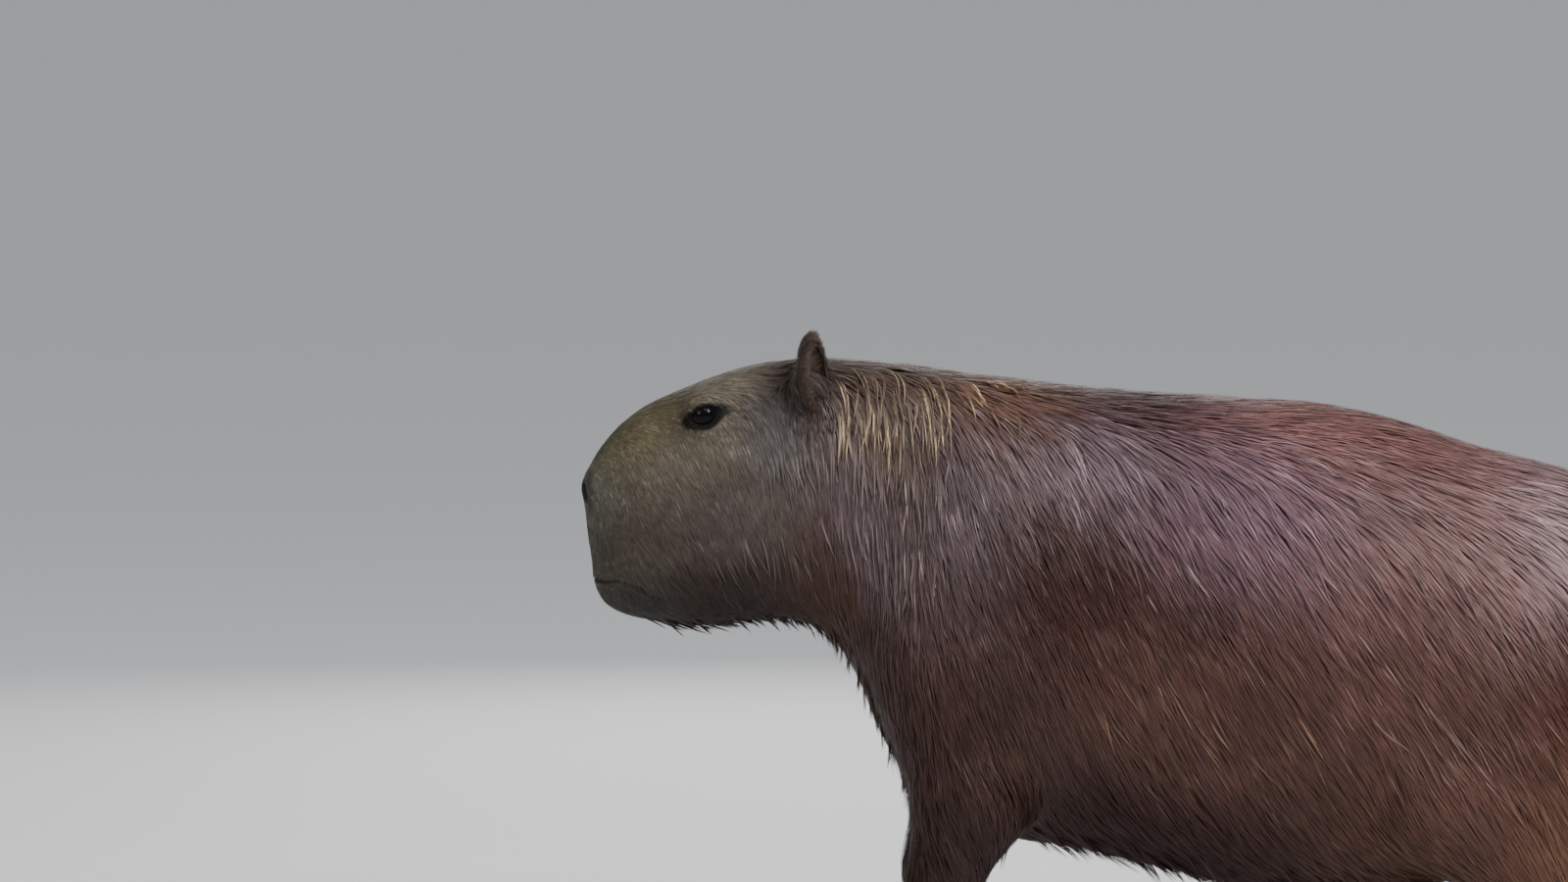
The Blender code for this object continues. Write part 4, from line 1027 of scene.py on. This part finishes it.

# Long wet locks over the coat, in rows on each side: start (x, level), end, count, length, half spread,
# clump, tip rise, how far they hang straight down, and the colour that their tips take.
# Of these tip colours the grey, nape and rose ones are painted lilac sheen of wet hair in the light, the pale
# one is pale hair with painted highlights, and the dark one is painted shade under the body.
PALE_TIP = (0.50, 0.36, 0.20)
NAPE_SHEEN_TIP = (0.200, 0.160, 0.150)
GREY_SHEEN_TIP = (0.125, 0.088, 0.086)
ROSE_SHEEN_TIP = (0.380, 0.270, 0.255)
SHADED_DARK_TIP = (0.024, 0.016, 0.013)
WARM_TIP = (0.150, 0.088, 0.058)
CHEEK_TIP = (0.088, 0.070, 0.058)
TUFT_TIP = (0.060, 0.042, 0.030)
LOCKS = {
    "crest": ((-0.328, 0.985), (-0.205, 0.985), 44, 0.082, 0.0019, 0.97, 0.003, 0.85, PALE_TIP),
    "crest_low": ((-0.328, 0.900), (-0.215, 0.930), 34, 0.070, 0.0020, 0.96, 0.002, 0.80, PALE_TIP),
    "crest_rear": ((-0.200, 0.985), (-0.150, 0.985), 8, 0.048, 0.0026, 0.96, 0.004, 0.85, PALE_TIP),
    "ear_front": ((-0.384, 0.950), (-0.364, 0.968), 10, 0.024, 0.0022, 0.88, 0.008, 0.0, TUFT_TIP),
    "ear_rear": ((-0.326, 0.955), (-0.306, 0.965), 5, 0.028, 0.0020, 0.90, 0.001, 0.0, WARM_TIP),
    "withers_tuft": ((-0.112, 0.930), (-0.098, 0.930), 3, 0.066, 0.0038, 0.98, 0.002, 0.55, ROSE_SHEEN_TIP),
    "nape": ((-0.326, 0.780), (-0.215, 0.820), 34, 0.074, 0.0019, 0.95, 0.001, 0.55, NAPE_SHEEN_TIP),
    "neck": ((-0.330, 0.560), (-0.225, 0.640), 30, 0.074, 0.0020, 0.93, 0.001, 0.30, NAPE_SHEEN_TIP),
    "cheek": ((-0.388, 0.700), (-0.336, 0.700), 18, 0.046, 0.0022, 0.90, 0.001, 0.20, CHEEK_TIP),
    "jaw_sweep": ((-0.440, 0.360), (-0.340, 0.400), 26, 0.052, 0.0022, 0.90, 0.001, 0.00, CHEEK_TIP),
    "withers": ((-0.130, 0.900), (0.060, 0.880), 22, 0.066, 0.0030, 0.92, 0.001, 0.10, GREY_SHEEN_TIP),
    "throat": ((-0.505, 0.030), (-0.300, 0.040), 40, 0.036, 0.0030, 0.92, 0.012, 0.0, SHADED_DARK_TIP),
    "chest": ((-0.300, 0.060), (-0.235, 0.080), 18, 0.050, 0.0040, 0.92, 0.012, 0.0, SHADED_DARK_TIP),
    "belly": ((-0.150, 0.030), (0.290, 0.040), 56, 0.055, 0.0045, 0.92, 0.015, 0.0, SHADED_DARK_TIP),
    "belly_middle": ((-0.120, 0.004), (0.260, 0.004), 40, 0.050, 0.0055, 0.85, 0.010, 0.0, SHADED_DARK_TIP),
    "flank_high": ((-0.120, 0.740), (0.330, 0.760), 60, 0.090, 0.0028, 0.90, 0.001, 0.0, GREY_SHEEN_TIP),
    "flank_low": ((-0.100, 0.420), (0.330, 0.440), 50, 0.085, 0.0030, 0.90, 0.001, 0.0, WARM_TIP),
    "loin": ((0.120, 0.880), (0.380, 0.880), 48, 0.090, 0.0030, 0.92, 0.001, 0.0, GREY_SHEEN_TIP),
    "rump": ((0.290, 0.920), (0.460, 0.840), 40, 0.068, 0.0032, 0.92, 0.003, 0.0, ROSE_SHEEN_TIP),
    "rump_low": ((0.420, 0.600), (0.490, 0.300), 20, 0.090, 0.0040, 0.90, 0.004, 0.0, WARM_TIP),
    "thigh": ((0.280, 0.250), (0.430, 0.200), 16, 0.075, 0.0050, 0.90, 0.002, 0.0, WARM_TIP),
    "elbow": ((-0.240, 0.260), (-0.140, 0.200), 14, 0.055, 0.0050, 0.90, 0.004, 0.0, SHADED_DARK_TIP),
}
# How far locks and blades differ in tone, its limits, and the shade at root and tip.
TONE_SPREAD = 0.10
TONE_LIMITS = (0.45, 1.7)
ROOT_SHADE = 0.88
TIP_SHADE = 1.06
# Wet hairs that catch the light: their share of the blades, what they add to the colour, and from which
# brightness of the coat on they add all of it.
GLINT_SHARE = 0.10
GLINT_FULL = 0.065
GLINT_COLOUR = (0.110, 0.092, 0.096)
GLINT_LEVELS = (0.40, 0.80)
# The long locks: blades in each, how far their tips' colours differ, their ridge, half width and rows.
LOCK_BLADES = 13
TIP_VARIETY = 0.40
LOCK_ROOF = 0.6
LOCK_WIDTH = 0.00062
LOCK_SHARES = (0.0, 0.25, 0.5, 0.78, 1.0)
LONG_SWAY = 0.14
# How round the trunk's section is taken to be where the locks' rows are placed, and how they stray in a row.
LOCK_ROUND = 2.3
ROW_STRAY = 0.035
# Between which values the hair sets in round the eyes, the nostrils and the mouth, and over the floor.
HAIR_FROM_EYES = (1.06, 1.18)
HAIR_FROM_NOSTRILS = (1.5, 1.9)
HAIR_FROM_MOUTH = (0.0016, 0.0032)
HAIR_FROM_FLOOR = (0.004, 0.009)


def tone_of(places, lock, count_locks, chance):
    """How light each blade is: a share for its lock and one of its own, with slow drifts over the body."""
    x, y, z = places.T
    drift = 0.07 * np.sin(31 * x + 17 * z + 3 * np.sign(y)) + 0.05 * np.sin(53 * z - 29 * x + 1.7)
    locks = chance.normal(1, TONE_SPREAD, count_locks)[lock]
    return np.clip((1 + drift) * locks * chance.normal(1, TONE_SPREAD, len(lock)), *TONE_LIMITS)


def shaded(colours, tones, shares, wide=2):
    """Colours for each vertex of blades, darker at the root than at the tip."""
    along = np.append(np.repeat(shares[:-1], wide), 1.0)
    run = ROOT_SHADE + (TIP_SHADE - ROOT_SHADE) * along**0.6
    return colours[:, None] * tones[:, None, None] * run[None, :, None]


def wanted_locks(places, areas):
    """How many locks each triangle takes: none in the eyes, nostrils and mouth or under the feet."""
    wanted = areas / along_body(LOCK_SPACING, places, LEG_SPACING) ** 2
    wanted *= ramp(eye_level(places)[0], *HAIR_FROM_EYES)
    wanted *= ramp(nostril_level(places, skin_grid), *HAIR_FROM_NOSTRILS)
    wanted *= ramp(mouth_distance(places, skin_grid), *HAIR_FROM_MOUTH)
    wanted *= 1 - cleft(places)
    wanted *= 1 - on_nose(places, *NOSE_HAIRLESS)
    return wanted * ramp(places[:, 2], *HAIR_FROM_FLOOR)


# How close to the slit between the lids a blade may come, and the locks' length, spread and sway.
EYE_CLEAR = 1.05
HAIR_REACH = 1.35
LOCK_SPREAD = 0.85
LOCK_SWAY = 0.10
# How far blades are drawn to their lock's tip on the head and on the body, and the stretch in between.
CLUMP = (0.35, 0.75)
CLUMP_STRETCH = (-0.40, -0.20)
# How far off a lock on the body may take its colour from, and where along the neck that sets in.
STRAY = 0.010
STRAY_STRETCH = (-0.40, -0.25)


def in_zone(places, zone):
    """Which places belong to a piece of the coat."""
    (start, end), sides, leg = zone[:3]
    inside = (places[:, 0] >= start) & (places[:, 0] < end)
    inside &= (places[:, 1] >= sides[0]) & (places[:, 1] < sides[1])
    return inside & ((leg_share(places) > 0.6) == leg)


def clear_of_eyes(points):
    """Which blades leave the eyes open."""
    level = eye_level(points.reshape(-1, 3))[0].reshape(len(points), -1)
    return level.min(axis=1) > EYE_CLEAR


def grown(share, value, start, end):
    """A share up to the start of a stretch of values, rising to 1 at its end."""
    return share + (1 - share) * ramp(value, start, end)


def hair_length(roots, chance):
    """The length of each lock, shorter round the eyes, the mouth and the ears' feet."""
    length = along_body(HAIR_LENGTH, roots, LEG_LENGTH) * chance.uniform(0.85, 1.15, len(roots))
    length *= grown(0.35, eye_level(roots)[0], 1.4, 3.2)
    length *= grown(0.45, mouth_distance(roots, skin_grid), 0.002, 0.012)
    return HAIR_REACH * length * grown(0.35, distance_to(EAR_ROOT, roots), 0.022, 0.045)


def add_glints(colours, tones, places, chance):
    """Lightens some of the blades, most of them high on the body, as wet hair in the light."""
    share = GLINT_SHARE * grown(0.20, level_of(places), *GLINT_LEVELS)
    wet = chance.uniform(0, 1, len(places)) < share
    shine = chance.uniform(0.4, 1.0, wet.sum()) * tones[wet]
    shine *= np.clip(colours[wet].mean(axis=(1, 2)) / GLINT_FULL, 0.35, 1.0)
    colours[wet] += np.array(GLINT_COLOUR) * shine[:, None, None]


def make_coat(coarse):
    """The short coat, one piece for each zone."""
    points, triangles, corners, middles = skin_triangles(coarse)
    crossed = np.cross(corners[:, 1] - corners[:, 0], corners[:, 2] - corners[:, 0])
    wanted = wanted_locks(middles, np.linalg.norm(crossed, axis=1) / 2)
    made = []
    for number, (name, zone) in enumerate(ZONES.items()):
        chance = np.random.default_rng(100 + number)
        blades, shares = zone[3:]
        mine = np.flatnonzero(in_zone(middles, zone))
        uv = unwrap(*compact(points, triangles[mine]))
        face, roots = scatter(corners[mine], wanted[mine], chance)
        roots = settle(skin_grid, roots)
        length = hair_length(roots, chance)
        widths = along_body(HAIR_WIDTH, roots, LEG_WIDTH)
        spread = along_body(LOCK_SPACING, roots, LEG_SPACING) * LOCK_SPREAD
        track = comb(roots, length, chance.normal(0, LOCK_SWAY, len(roots)))
        clump = CLUMP[0] + (CLUMP[1] - CLUMP[0]) * ramp(roots[:, 0], *CLUMP_STRETCH)
        blades_at, lock, _ = grow(
            track, spread, length, widths, along_body(COAT_DEPTH, roots, LEG_COAT),
            blades, shares, np.repeat(clump, blades)[:, None], np.zeros(len(roots)), chance,
        )
        keep = clear_of_eyes(blades_at)
        blades_at, lock = blades_at[keep], lock[keep]
        places = blades_at[:, 1]
        stray = STRAY * ramp(roots[:, 0], *STRAY_STRETCH)[:, None]
        stray = (chance.normal(0, 1, (len(roots), 3)) * stray)[lock]
        tones = tone_of(places, lock, len(roots), chance)
        colours = shaded(coat_colour(places + stray), tones, shares)
        add_glints(colours, tones, places, chance)
        face = face[lock]
        uvs = root_places(uv, corners[mine], face, places - corners[mine][face, 0])
        made.append(add_tufts(name, blades_at, colours, uvs, shares))
    return made


def compact(points, triangles):
    """The points that some triangles use, and the triangles renumbered to them."""
    used, numbers = np.unique(triangles, return_inverse=True)
    return points[used], numbers.reshape(-1, 3)


def lock_rows(chance):
    """The roots of the long locks with their row's values."""
    roots, sizes, tips = [], [], []
    for start, end, count, length, spread, clump, rise, drop, tip in LOCKS.values():
        for k in range(count):
            for away in (-1, 1):
                share = (k + chance.uniform(0.1, 0.9)) / count
                x = start[0] + (end[0] - start[0]) * share
                level = start[1] + (end[1] - start[1]) * share + chance.uniform(-ROW_STRAY, ROW_STRAY)
                level = min(max(level, 0.004), 0.996)
                z = under_line(x) + (top_line(x) - under_line(x)) * level
                flat = max(0.02, 1 - abs(2 * level - 1) ** LOCK_ROUND)
                roots.append((x, half_width(x) * flat ** (1 / LOCK_ROUND) * away, z))
                longer, wider = chance.uniform(0.65, 1.25, 2)
                sizes.append((length * longer, spread * wider, clump, rise * chance.uniform(0.3, 1.2), drop))
                tips.append(tip)
    return np.array(roots), np.array(sizes).T, np.array(tips)


def lock_colours(places, lock, reach, tips, chance):
    """The coat's colours along the blades of long locks, with their tips in the colours given."""
    tones = tone_of(places, lock, len(tips), chance)
    # wet is how far each blade takes its row's tip colour, which on most rows is painted sheen, highlight or
    # shade.
    wet = (chance.uniform(0, 1, len(tips)) ** 1.2)[lock]
    wet *= ramp(chance.uniform(0, 1, len(lock)), 0.25, 0.85)
    share = ramp(reach, 0.10, 0.60)[..., None] * wet[:, None, None]
    colours = shaded(coat_colour(places), tones, LOCK_SHARES, 3)
    varied = tones * np.exp(chance.normal(0, TIP_VARIETY, len(lock)))
    return colours + (tips[lock][:, None] * varied[:, None, None] - colours) * share


def make_locks(coarse):
    """The long pointed locks of the nape, back, throat, chest, belly, flank and rump."""
    chance = np.random.default_rng(11)
    roots, (length, spread, clump, rise, drop), tips = lock_rows(chance)
    roots = settle(skin_grid, roots, 8)
    track = comb(roots, length, chance.normal(0, LONG_SWAY, len(roots)), drop[:, None])
    points, triangles, corners, middles = skin_triangles(coarse)
    along = np.append(np.repeat(LOCK_SHARES[:-1], 3), 1.0)
    made = []
    for name, away in (("locks_left", -1), ("locks_right", 1)):
        side = np.flatnonzero(roots[:, 1] * away > 0)
        mine = np.flatnonzero((middles[:, 1] * away > -0.004) & (leg_share(middles) < 0.6))
        uv = unwrap(*compact(points, triangles[mine]))
        near = nearest(middles[mine], roots[side])
        part = [rows[side] for rows in track]
        depth = along_body(COAT_DEPTH, roots[side], LEG_COAT) * 1.05 + ROOT_DEPTH
        pull = np.repeat(clump[side], LOCK_BLADES)[:, None]
        blades_at, lock, start = grow(
            part, spread[side], length[side], np.full(len(side), LOCK_WIDTH), depth,
            LOCK_BLADES, LOCK_SHARES, pull, rise[side], chance, LOCK_ROOF,
        )
        reach = (start / length[side][lock])[:, None] + along * 0.6
        colours = lock_colours(blades_at[:, 4], lock, reach, tips[side], chance)
        face = near[lock]
        uvs = root_places(uv, corners[mine], face, blades_at[:, 1] - corners[mine][face, 0])
        made.append(add_tufts(name, blades_at, colours, uvs, LOCK_SHARES))
    return made


def nearest(places, wanted):
    """The number of the place nearest to each wanted point."""
    return np.array([int(np.argmin(((places - point) ** 2).sum(axis=1))) for point in wanted])


EAR_BLADES = 4200
EAR_HAIR = (0.0120, 0.00034)
EAR_COAT = 0.0009
EAR_COLOUR = (0.062, 0.043, 0.032)
EAR_LIE = (0.45, 0.0, 0.0)
# The fringe: its share of the blades, its length and colour, and where round the ear's edge it stands.
EAR_RIM_SHARE = 0.30
EAR_RIM_HAIR = 0.0085
EAR_RIM_COLOUR = (0.070, 0.050, 0.037)
EAR_RIM_PLACE = (0.16, 0.30)


def make_ear_coat():
    """Short hair over the backs of both ears, and a fringe along their rims."""
    chance = np.random.default_rng(5)
    tufts = []
    for number, away in enumerate((-1, 1)):
        root, tip, up, turn = ear_frame(away)
        z = chance.uniform(-0.98, 1, EAR_BLADES)
        a = chance.uniform(0, 2 * math.pi, EAR_BLADES)
        rim = chance.uniform(0, 1, EAR_BLADES) < EAR_RIM_SHARE
        ring = np.sqrt(1 - z * z)
        out = np.where(rim, chance.uniform(*EAR_RIM_PLACE, EAR_BLADES), -np.abs(ring * np.sin(a)))
        local = unit(np.stack([ring * np.cos(a), out, z], axis=1))
        normals = unit(local / np.array(EAR_RADII)) @ turn.T
        places = root + (tip - root) * EAR_CENTRE + (local * np.array(EAR_RADII)) @ turn.T
        way = up + np.array(EAR_LIE) + chance.normal(0, 0.22, (EAR_BLADES, 3))
        way -= (way * normals).sum(axis=1)[:, None] * normals * np.where(rim, 0.5, 0.92)[:, None]
        way = unit(way)
        length = np.where(rim, EAR_RIM_HAIR, EAR_HAIR[0]) * chance.uniform(0.5, 1.1, EAR_BLADES)
        length *= np.where(rim, grown(0.35, local[:, 2], 1.0, -0.2), 1.0)
        steps = np.arange(TRACE_STEPS + 1) / TRACE_STEPS
        centre = places[:, None] + way[:, None] * (steps[:, None] * length[:, None, None])
        track = [centre] + [np.repeat(rows[:, None], TRACE_STEPS + 1, axis=1) for rows in (normals, way)]
        zero = np.zeros(EAR_BLADES)
        points, _, _ = grow(
            track, zero, length, np.full(EAR_BLADES, EAR_HAIR[1]), np.full(EAR_BLADES, EAR_COAT),
            1, SHORT_SHARES, 0.0, zero, chance,
        )
        base = np.where(rim[:, None], EAR_RIM_COLOUR, EAR_COLOUR)
        colours = shaded(base, chance.normal(1, 0.2, EAR_BLADES), SHORT_SHARES)
        uvs = np.stack([(a / (2 * math.pi) + number) * 0.49 + 0.005, 0.01 + 0.49 * (z + 1)], axis=1)
        tufts.append((points, colours, uvs))
    return add_tufts("coat_ears", *(np.concatenate(rows) for rows in zip(*tufts)), SHORT_SHARES)


# The whiskers' rows: the first one's place and how many there are, then the step from one to the next.
WHISKER_ROWS = ((-0.536, 0.462, 6), (-0.526, 0.450, 6), (-0.518, 0.438, 5), (-0.512, 0.426, 4))
WHISKER_STEP = (0.0075, -0.0012)
WHISKER_LENGTH = (0.020, 0.042)
WHISKER_RADIUS = 0.00016
WHISKER_COLOUR = (0.055, 0.045, 0.038)
WHISKER_SAG = (0.125, 0.0, -0.25)


def make_whiskers():
    """A few thin whiskers on each lip, swept back and down."""
    chance = np.random.default_rng(3)
    tufts, uvs = [], []
    for away in (-1, 1):
        for x, z, count in WHISKER_ROWS:
            for k in range(count):
                height = z + WHISKER_STEP[1] * k + chance.uniform(-0.001, 0.001)
                root = settle(skin_grid, np.array([[x + WHISKER_STEP[0] * k, 0.05 * away, height]]), 8)
                normal = normals_at(skin_grid, root)[0]
                way = normal * 0.75 + np.array([0.7, 0, -0.45 + chance.normal(0, 0.15)])
                way /= np.linalg.norm(way)
                across = np.cross(way, normal)
                length = chance.uniform(*WHISKER_LENGTH)
                rows = []
                for share in LOCK_SHARES:
                    centre = root[0] + way * length * share + np.array(WHISKER_SAG) * length * share**2
                    wide = WHISKER_RADIUS * (1 - 0.8 * share)
                    rows += [centre - across * wide, centre + normal * wide, centre + across * wide]
                tufts.append(rows[:-3] + rows[-2:-1])
                uvs.append((0.25 + 0.5 * (away > 0) + (x + 0.53) * 8, 0.2 + (z - 0.42) * 10 + 0.01 * k))
    tufts = np.array(tufts)
    colours = np.full(tufts.shape, WHISKER_COLOUR) * np.linspace(1, 1.8, tufts.shape[1])[None, :, None]
    return add_tufts("whiskers", tufts, colours, np.array(uvs), LOCK_SHARES)


# The values between which a noise pattern mostly lies.
NOISE_SPAN = (0.3, 0.7)


def feed(tree, node, inputs):
    """Sets a node's inputs to values, or links them to other nodes' outputs."""
    for name, value in inputs.items():
        if isinstance(value, bpy.types.NodeSocket):
            tree.links.new(value, node.inputs[name])
        else:
            node.inputs[name].default_value = value


def add_node(tree, kind, inputs=None):
    """A new shader node with its inputs set."""
    node = tree.nodes.new("ShaderNode" + kind)
    feed(tree, node, inputs or {})
    return node


def noise(tree, scale, detail=4.0, stretch=(1.0, 1.0, 1.0)):
    """A noise pattern in the object's own space."""
    place = add_node(tree, "TexCoord").outputs["Object"]
    place = add_node(tree, "Mapping", {"Vector": place, "Scale": stretch}).outputs["Vector"]
    return add_node(tree, "TexNoise", {"Vector": place, "Scale": scale, "Detail": detail}).outputs["Fac"]


def noise_range(tree, pattern, low, high):
    """A noise pattern spread from low to high."""
    inputs = dict(zip(("From Min", "From Max", "To Min", "To Max"), (*NOISE_SPAN, low, high)))
    return add_node(tree, "MapRange", {"Value": noise(tree, *pattern), **inputs}).outputs["Result"]


def new_material(name):
    material = bpy.data.materials.new(name)
    material.use_nodes = True
    tree = material.node_tree
    return material, tree, tree.nodes["Principled BSDF"]


# The materials: the pattern (scale, detail, stretch) and range of the shade and of the roughness, or one even
# roughness, then the specular level, and the pattern, strength and height of the relief.
MATERIALS = {
    "face_hair": (((42.0, 5.0), 0.85, 1.15), ((65.0, 3.0), 0.45, 0.62), 0.20, None),
    "body_hair": (((42.0, 5.0), 0.88, 1.12), ((65.0, 3.0), 0.38, 0.52), 0.20, None),
    "skin": (((160.0, 6.0), 0.78, 1.20), ((90.0,), 0.42, 0.62), 0.06, ((420.0, 8.0), 0.55, 0.0012)),
    "eye": (((700.0,), 0.80, 1.30), 0.03, 0.09, None),
    "claw": (
        ((120.0, 5.0, (0.30, 3.0, 1.0)), 0.60, 1.60), ((200.0,), 0.32, 0.55), 0.50,
        ((260.0, 5.0, (0.25, 3.0, 1.0)), 0.40, 0.0006),
    ),
}


def pelt_material(name):
    """A material over the painted colours: its shade and roughness varied, and its relief if it has one."""
    shade, rough, specular, relief = MATERIALS[name]
    material, tree, shader = new_material(name)
    pelt = add_node(tree, "Attribute")
    pelt.attribute_name = "pelt"
    mix = add_node(tree, "VectorMath")
    mix.operation = "SCALE"
    feed(tree, mix, {0: pelt.outputs["Color"], "Scale": noise_range(tree, *shade)})
    if isinstance(rough, tuple):
        rough = noise_range(tree, *rough)
    looks = {"Base Color": mix.outputs["Vector"], "Roughness": rough, "Specular IOR Level": specular}
    if relief:
        pattern, strength, height = relief
        bumps = {"Strength": strength, "Distance": height, "Height": noise(tree, *pattern)}
        looks["Normal"] = add_node(tree, "Bump", bumps).outputs["Normal"]
    feed(tree, shader, looks)
    return material


def dress(obj, material):
    """Gives a piece its material and slot, and lets it ride on the body."""
    obj.data.materials.clear()
    obj.data.materials.append(material)
    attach(obj, "root")
    return obj


# The camera looks along +Y from the animal's left, a little from above, as the photograph does.
CAMERA_TARGET = (-0.3653, 0.0, 0.5375)
CAMERA_DISTANCE = 6.0
CAMERA_ELEVATION = math.radians(4)
CAMERA_LENS = 145.16
SENSOR = 36.0
CAMERA_REACH = 400.0


def add_camera():
    """A camera with a long lens, framed as the photograph."""
    data = bpy.data.cameras.new("camera")
    data.lens = CAMERA_LENS
    data.sensor_width = SENSOR
    data.clip_end = CAMERA_REACH
    camera = link("camera", data)
    back = Vector((0, -math.cos(CAMERA_ELEVATION), math.sin(CAMERA_ELEVATION)))
    camera.location = Vector(CAMERA_TARGET) + Vector(ORIGIN_SHIFT) + back * CAMERA_DISTANCE
    camera.rotation_euler = (-back).to_track_quat("-Z", "Y").to_euler()
    bpy.context.scene.camera = camera


# Studio lights: place, the point looked at, size, power and colour.
LIGHTS = {
    "key": ((1.2, -1.9, 2.3), (0.0, 0.0, 0.35), 0.8, 75.0, (1.0, 0.98, 0.95)),
    "sky": ((0.3, -1.3, 3.1), (0.0, 0.0, 0.40), 2.6, 80.0, (0.90, 0.93, 1.0)),
    "front": ((-2.6, -1.8, 1.6), (-0.2, 0.0, 0.40), 1.4, 26.0, (1.0, 0.97, 0.93)),
    "far": ((-0.4, 2.6, 1.4), (0.0, 0.0, 0.35), 1.6, 26.0, (1.0, 0.97, 0.94)),
}
WORLD_COLOUR = (0.86, 0.90, 0.97)
HORIZON_COLOUR = (0.640, 0.661, 0.696)
WORLD_RISE = 0.45
WORLD_STRENGTH = 0.58
FLOOR_SIZE = 160.0
FLOOR_COLOUR = (0.74, 0.73, 0.715)
FLOOR_ROUGHNESS = ((3.0,), 0.80, 0.90)


def add_lights():
    """Soft round lamps, each turned to the point it lights."""
    for name, (place, aim, size, power, colour) in LIGHTS.items():
        data = bpy.data.lights.new(name, "AREA")
        data.shape = "DISK"
        data.size = size
        data.energy = power
        data.color = colour
        light = link(name, data)
        light.location = place
        light.rotation_euler = (Vector(place) - Vector(aim)).to_track_quat("Z", "Y").to_euler()


def add_world():
    """An even grey sky, paler at the horizon, where it meets the floor."""
    world = bpy.data.worlds.new("studio")
    world.use_nodes = True
    tree = world.node_tree
    split = add_node(tree, "SeparateXYZ", {"Vector": add_node(tree, "TexCoord").outputs["Generated"]})
    height = add_node(tree, "MapRange", {"Value": split.outputs["Z"], "From Max": WORLD_RISE})
    mix = add_node(tree, "Mix")
    mix.data_type = "RGBA"
    feed(tree, mix, {"Factor": height.outputs["Result"], 6: (*HORIZON_COLOUR, 1), 7: (*WORLD_COLOUR, 1)})
    feed(tree, tree.nodes["Background"], {"Color": mix.outputs[2], "Strength": WORLD_STRENGTH})
    bpy.context.scene.world = world


def add_floor():
    """A plain pale floor."""
    half = FLOOR_SIZE / 2
    corners = [(-half, -half, 0), (half, -half, 0), (half, half, 0), (-half, half, 0)]
    mesh = bpy.data.meshes.new("floor")
    mesh.from_pydata(corners, [], [(0, 1, 2, 3)])
    material, tree, shader = new_material("floor")
    feed(tree, shader, {"Base Color": (*FLOOR_COLOUR, 1), "Roughness": noise_range(tree, *FLOOR_ROUGHNESS)})
    mesh.materials.append(material)
    link("floor", mesh)


add_camera()
add_lights()
add_world()
add_floor()

skin_low, skin_high = (np.array(corner, float) for corner in BODY_LIMITS)
skin_grid = (field_grid(skin_field, skin_low, skin_high, SKIN_VOXEL), skin_low, SKIN_VOXEL)
skin, coarse_skin = make_skin()
dress(skin, pelt_material("skin"))
flesh = [f"{limb}_{part}" for limb in LIMB_SHIFT for part in ("upper", "lower", "foot")]
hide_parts("head", "neck", "torso", *flesh)

for side, away in (("left", -1), ("right", 1)):
    eye = dress(make_eye(side, away), pelt_material("eye"))
    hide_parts("eye_" + side)
    ear = dress(make_ear(side, away), pelt_material("skin"))
    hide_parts("ear_" + side)
horn = pelt_material("claw")
for limb in LIMB_SHIFT:
    away = -1 if limb.endswith("left") else 1
    joints, toes = (FRONT_LIMB, FRONT_TOES) if limb.startswith("front") else (HIND_LIMB, HIND_TOES)
    for number, (_, knuckle, tip) in enumerate(toe_joints(joints, toes, LIMB_SHIFT[limb]), start=1):
        claw = dress(make_claw(limb, number, knuckle, tip, away), horn)
        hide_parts(f"claw_{limb}_{number}")
face_hair, body_hair = pelt_material("face_hair"), pelt_material("body_hair")
for piece in make_coat(coarse_skin):
    near_head = piece.name in ("coat_face", "coat_cheeks")
    dress(piece, face_hair if near_head else body_hair)
for piece in make_locks(coarse_skin):
    dress(piece, body_hair)
dress(make_ear_coat(), face_hair)
dress(make_whiskers(), face_hair)
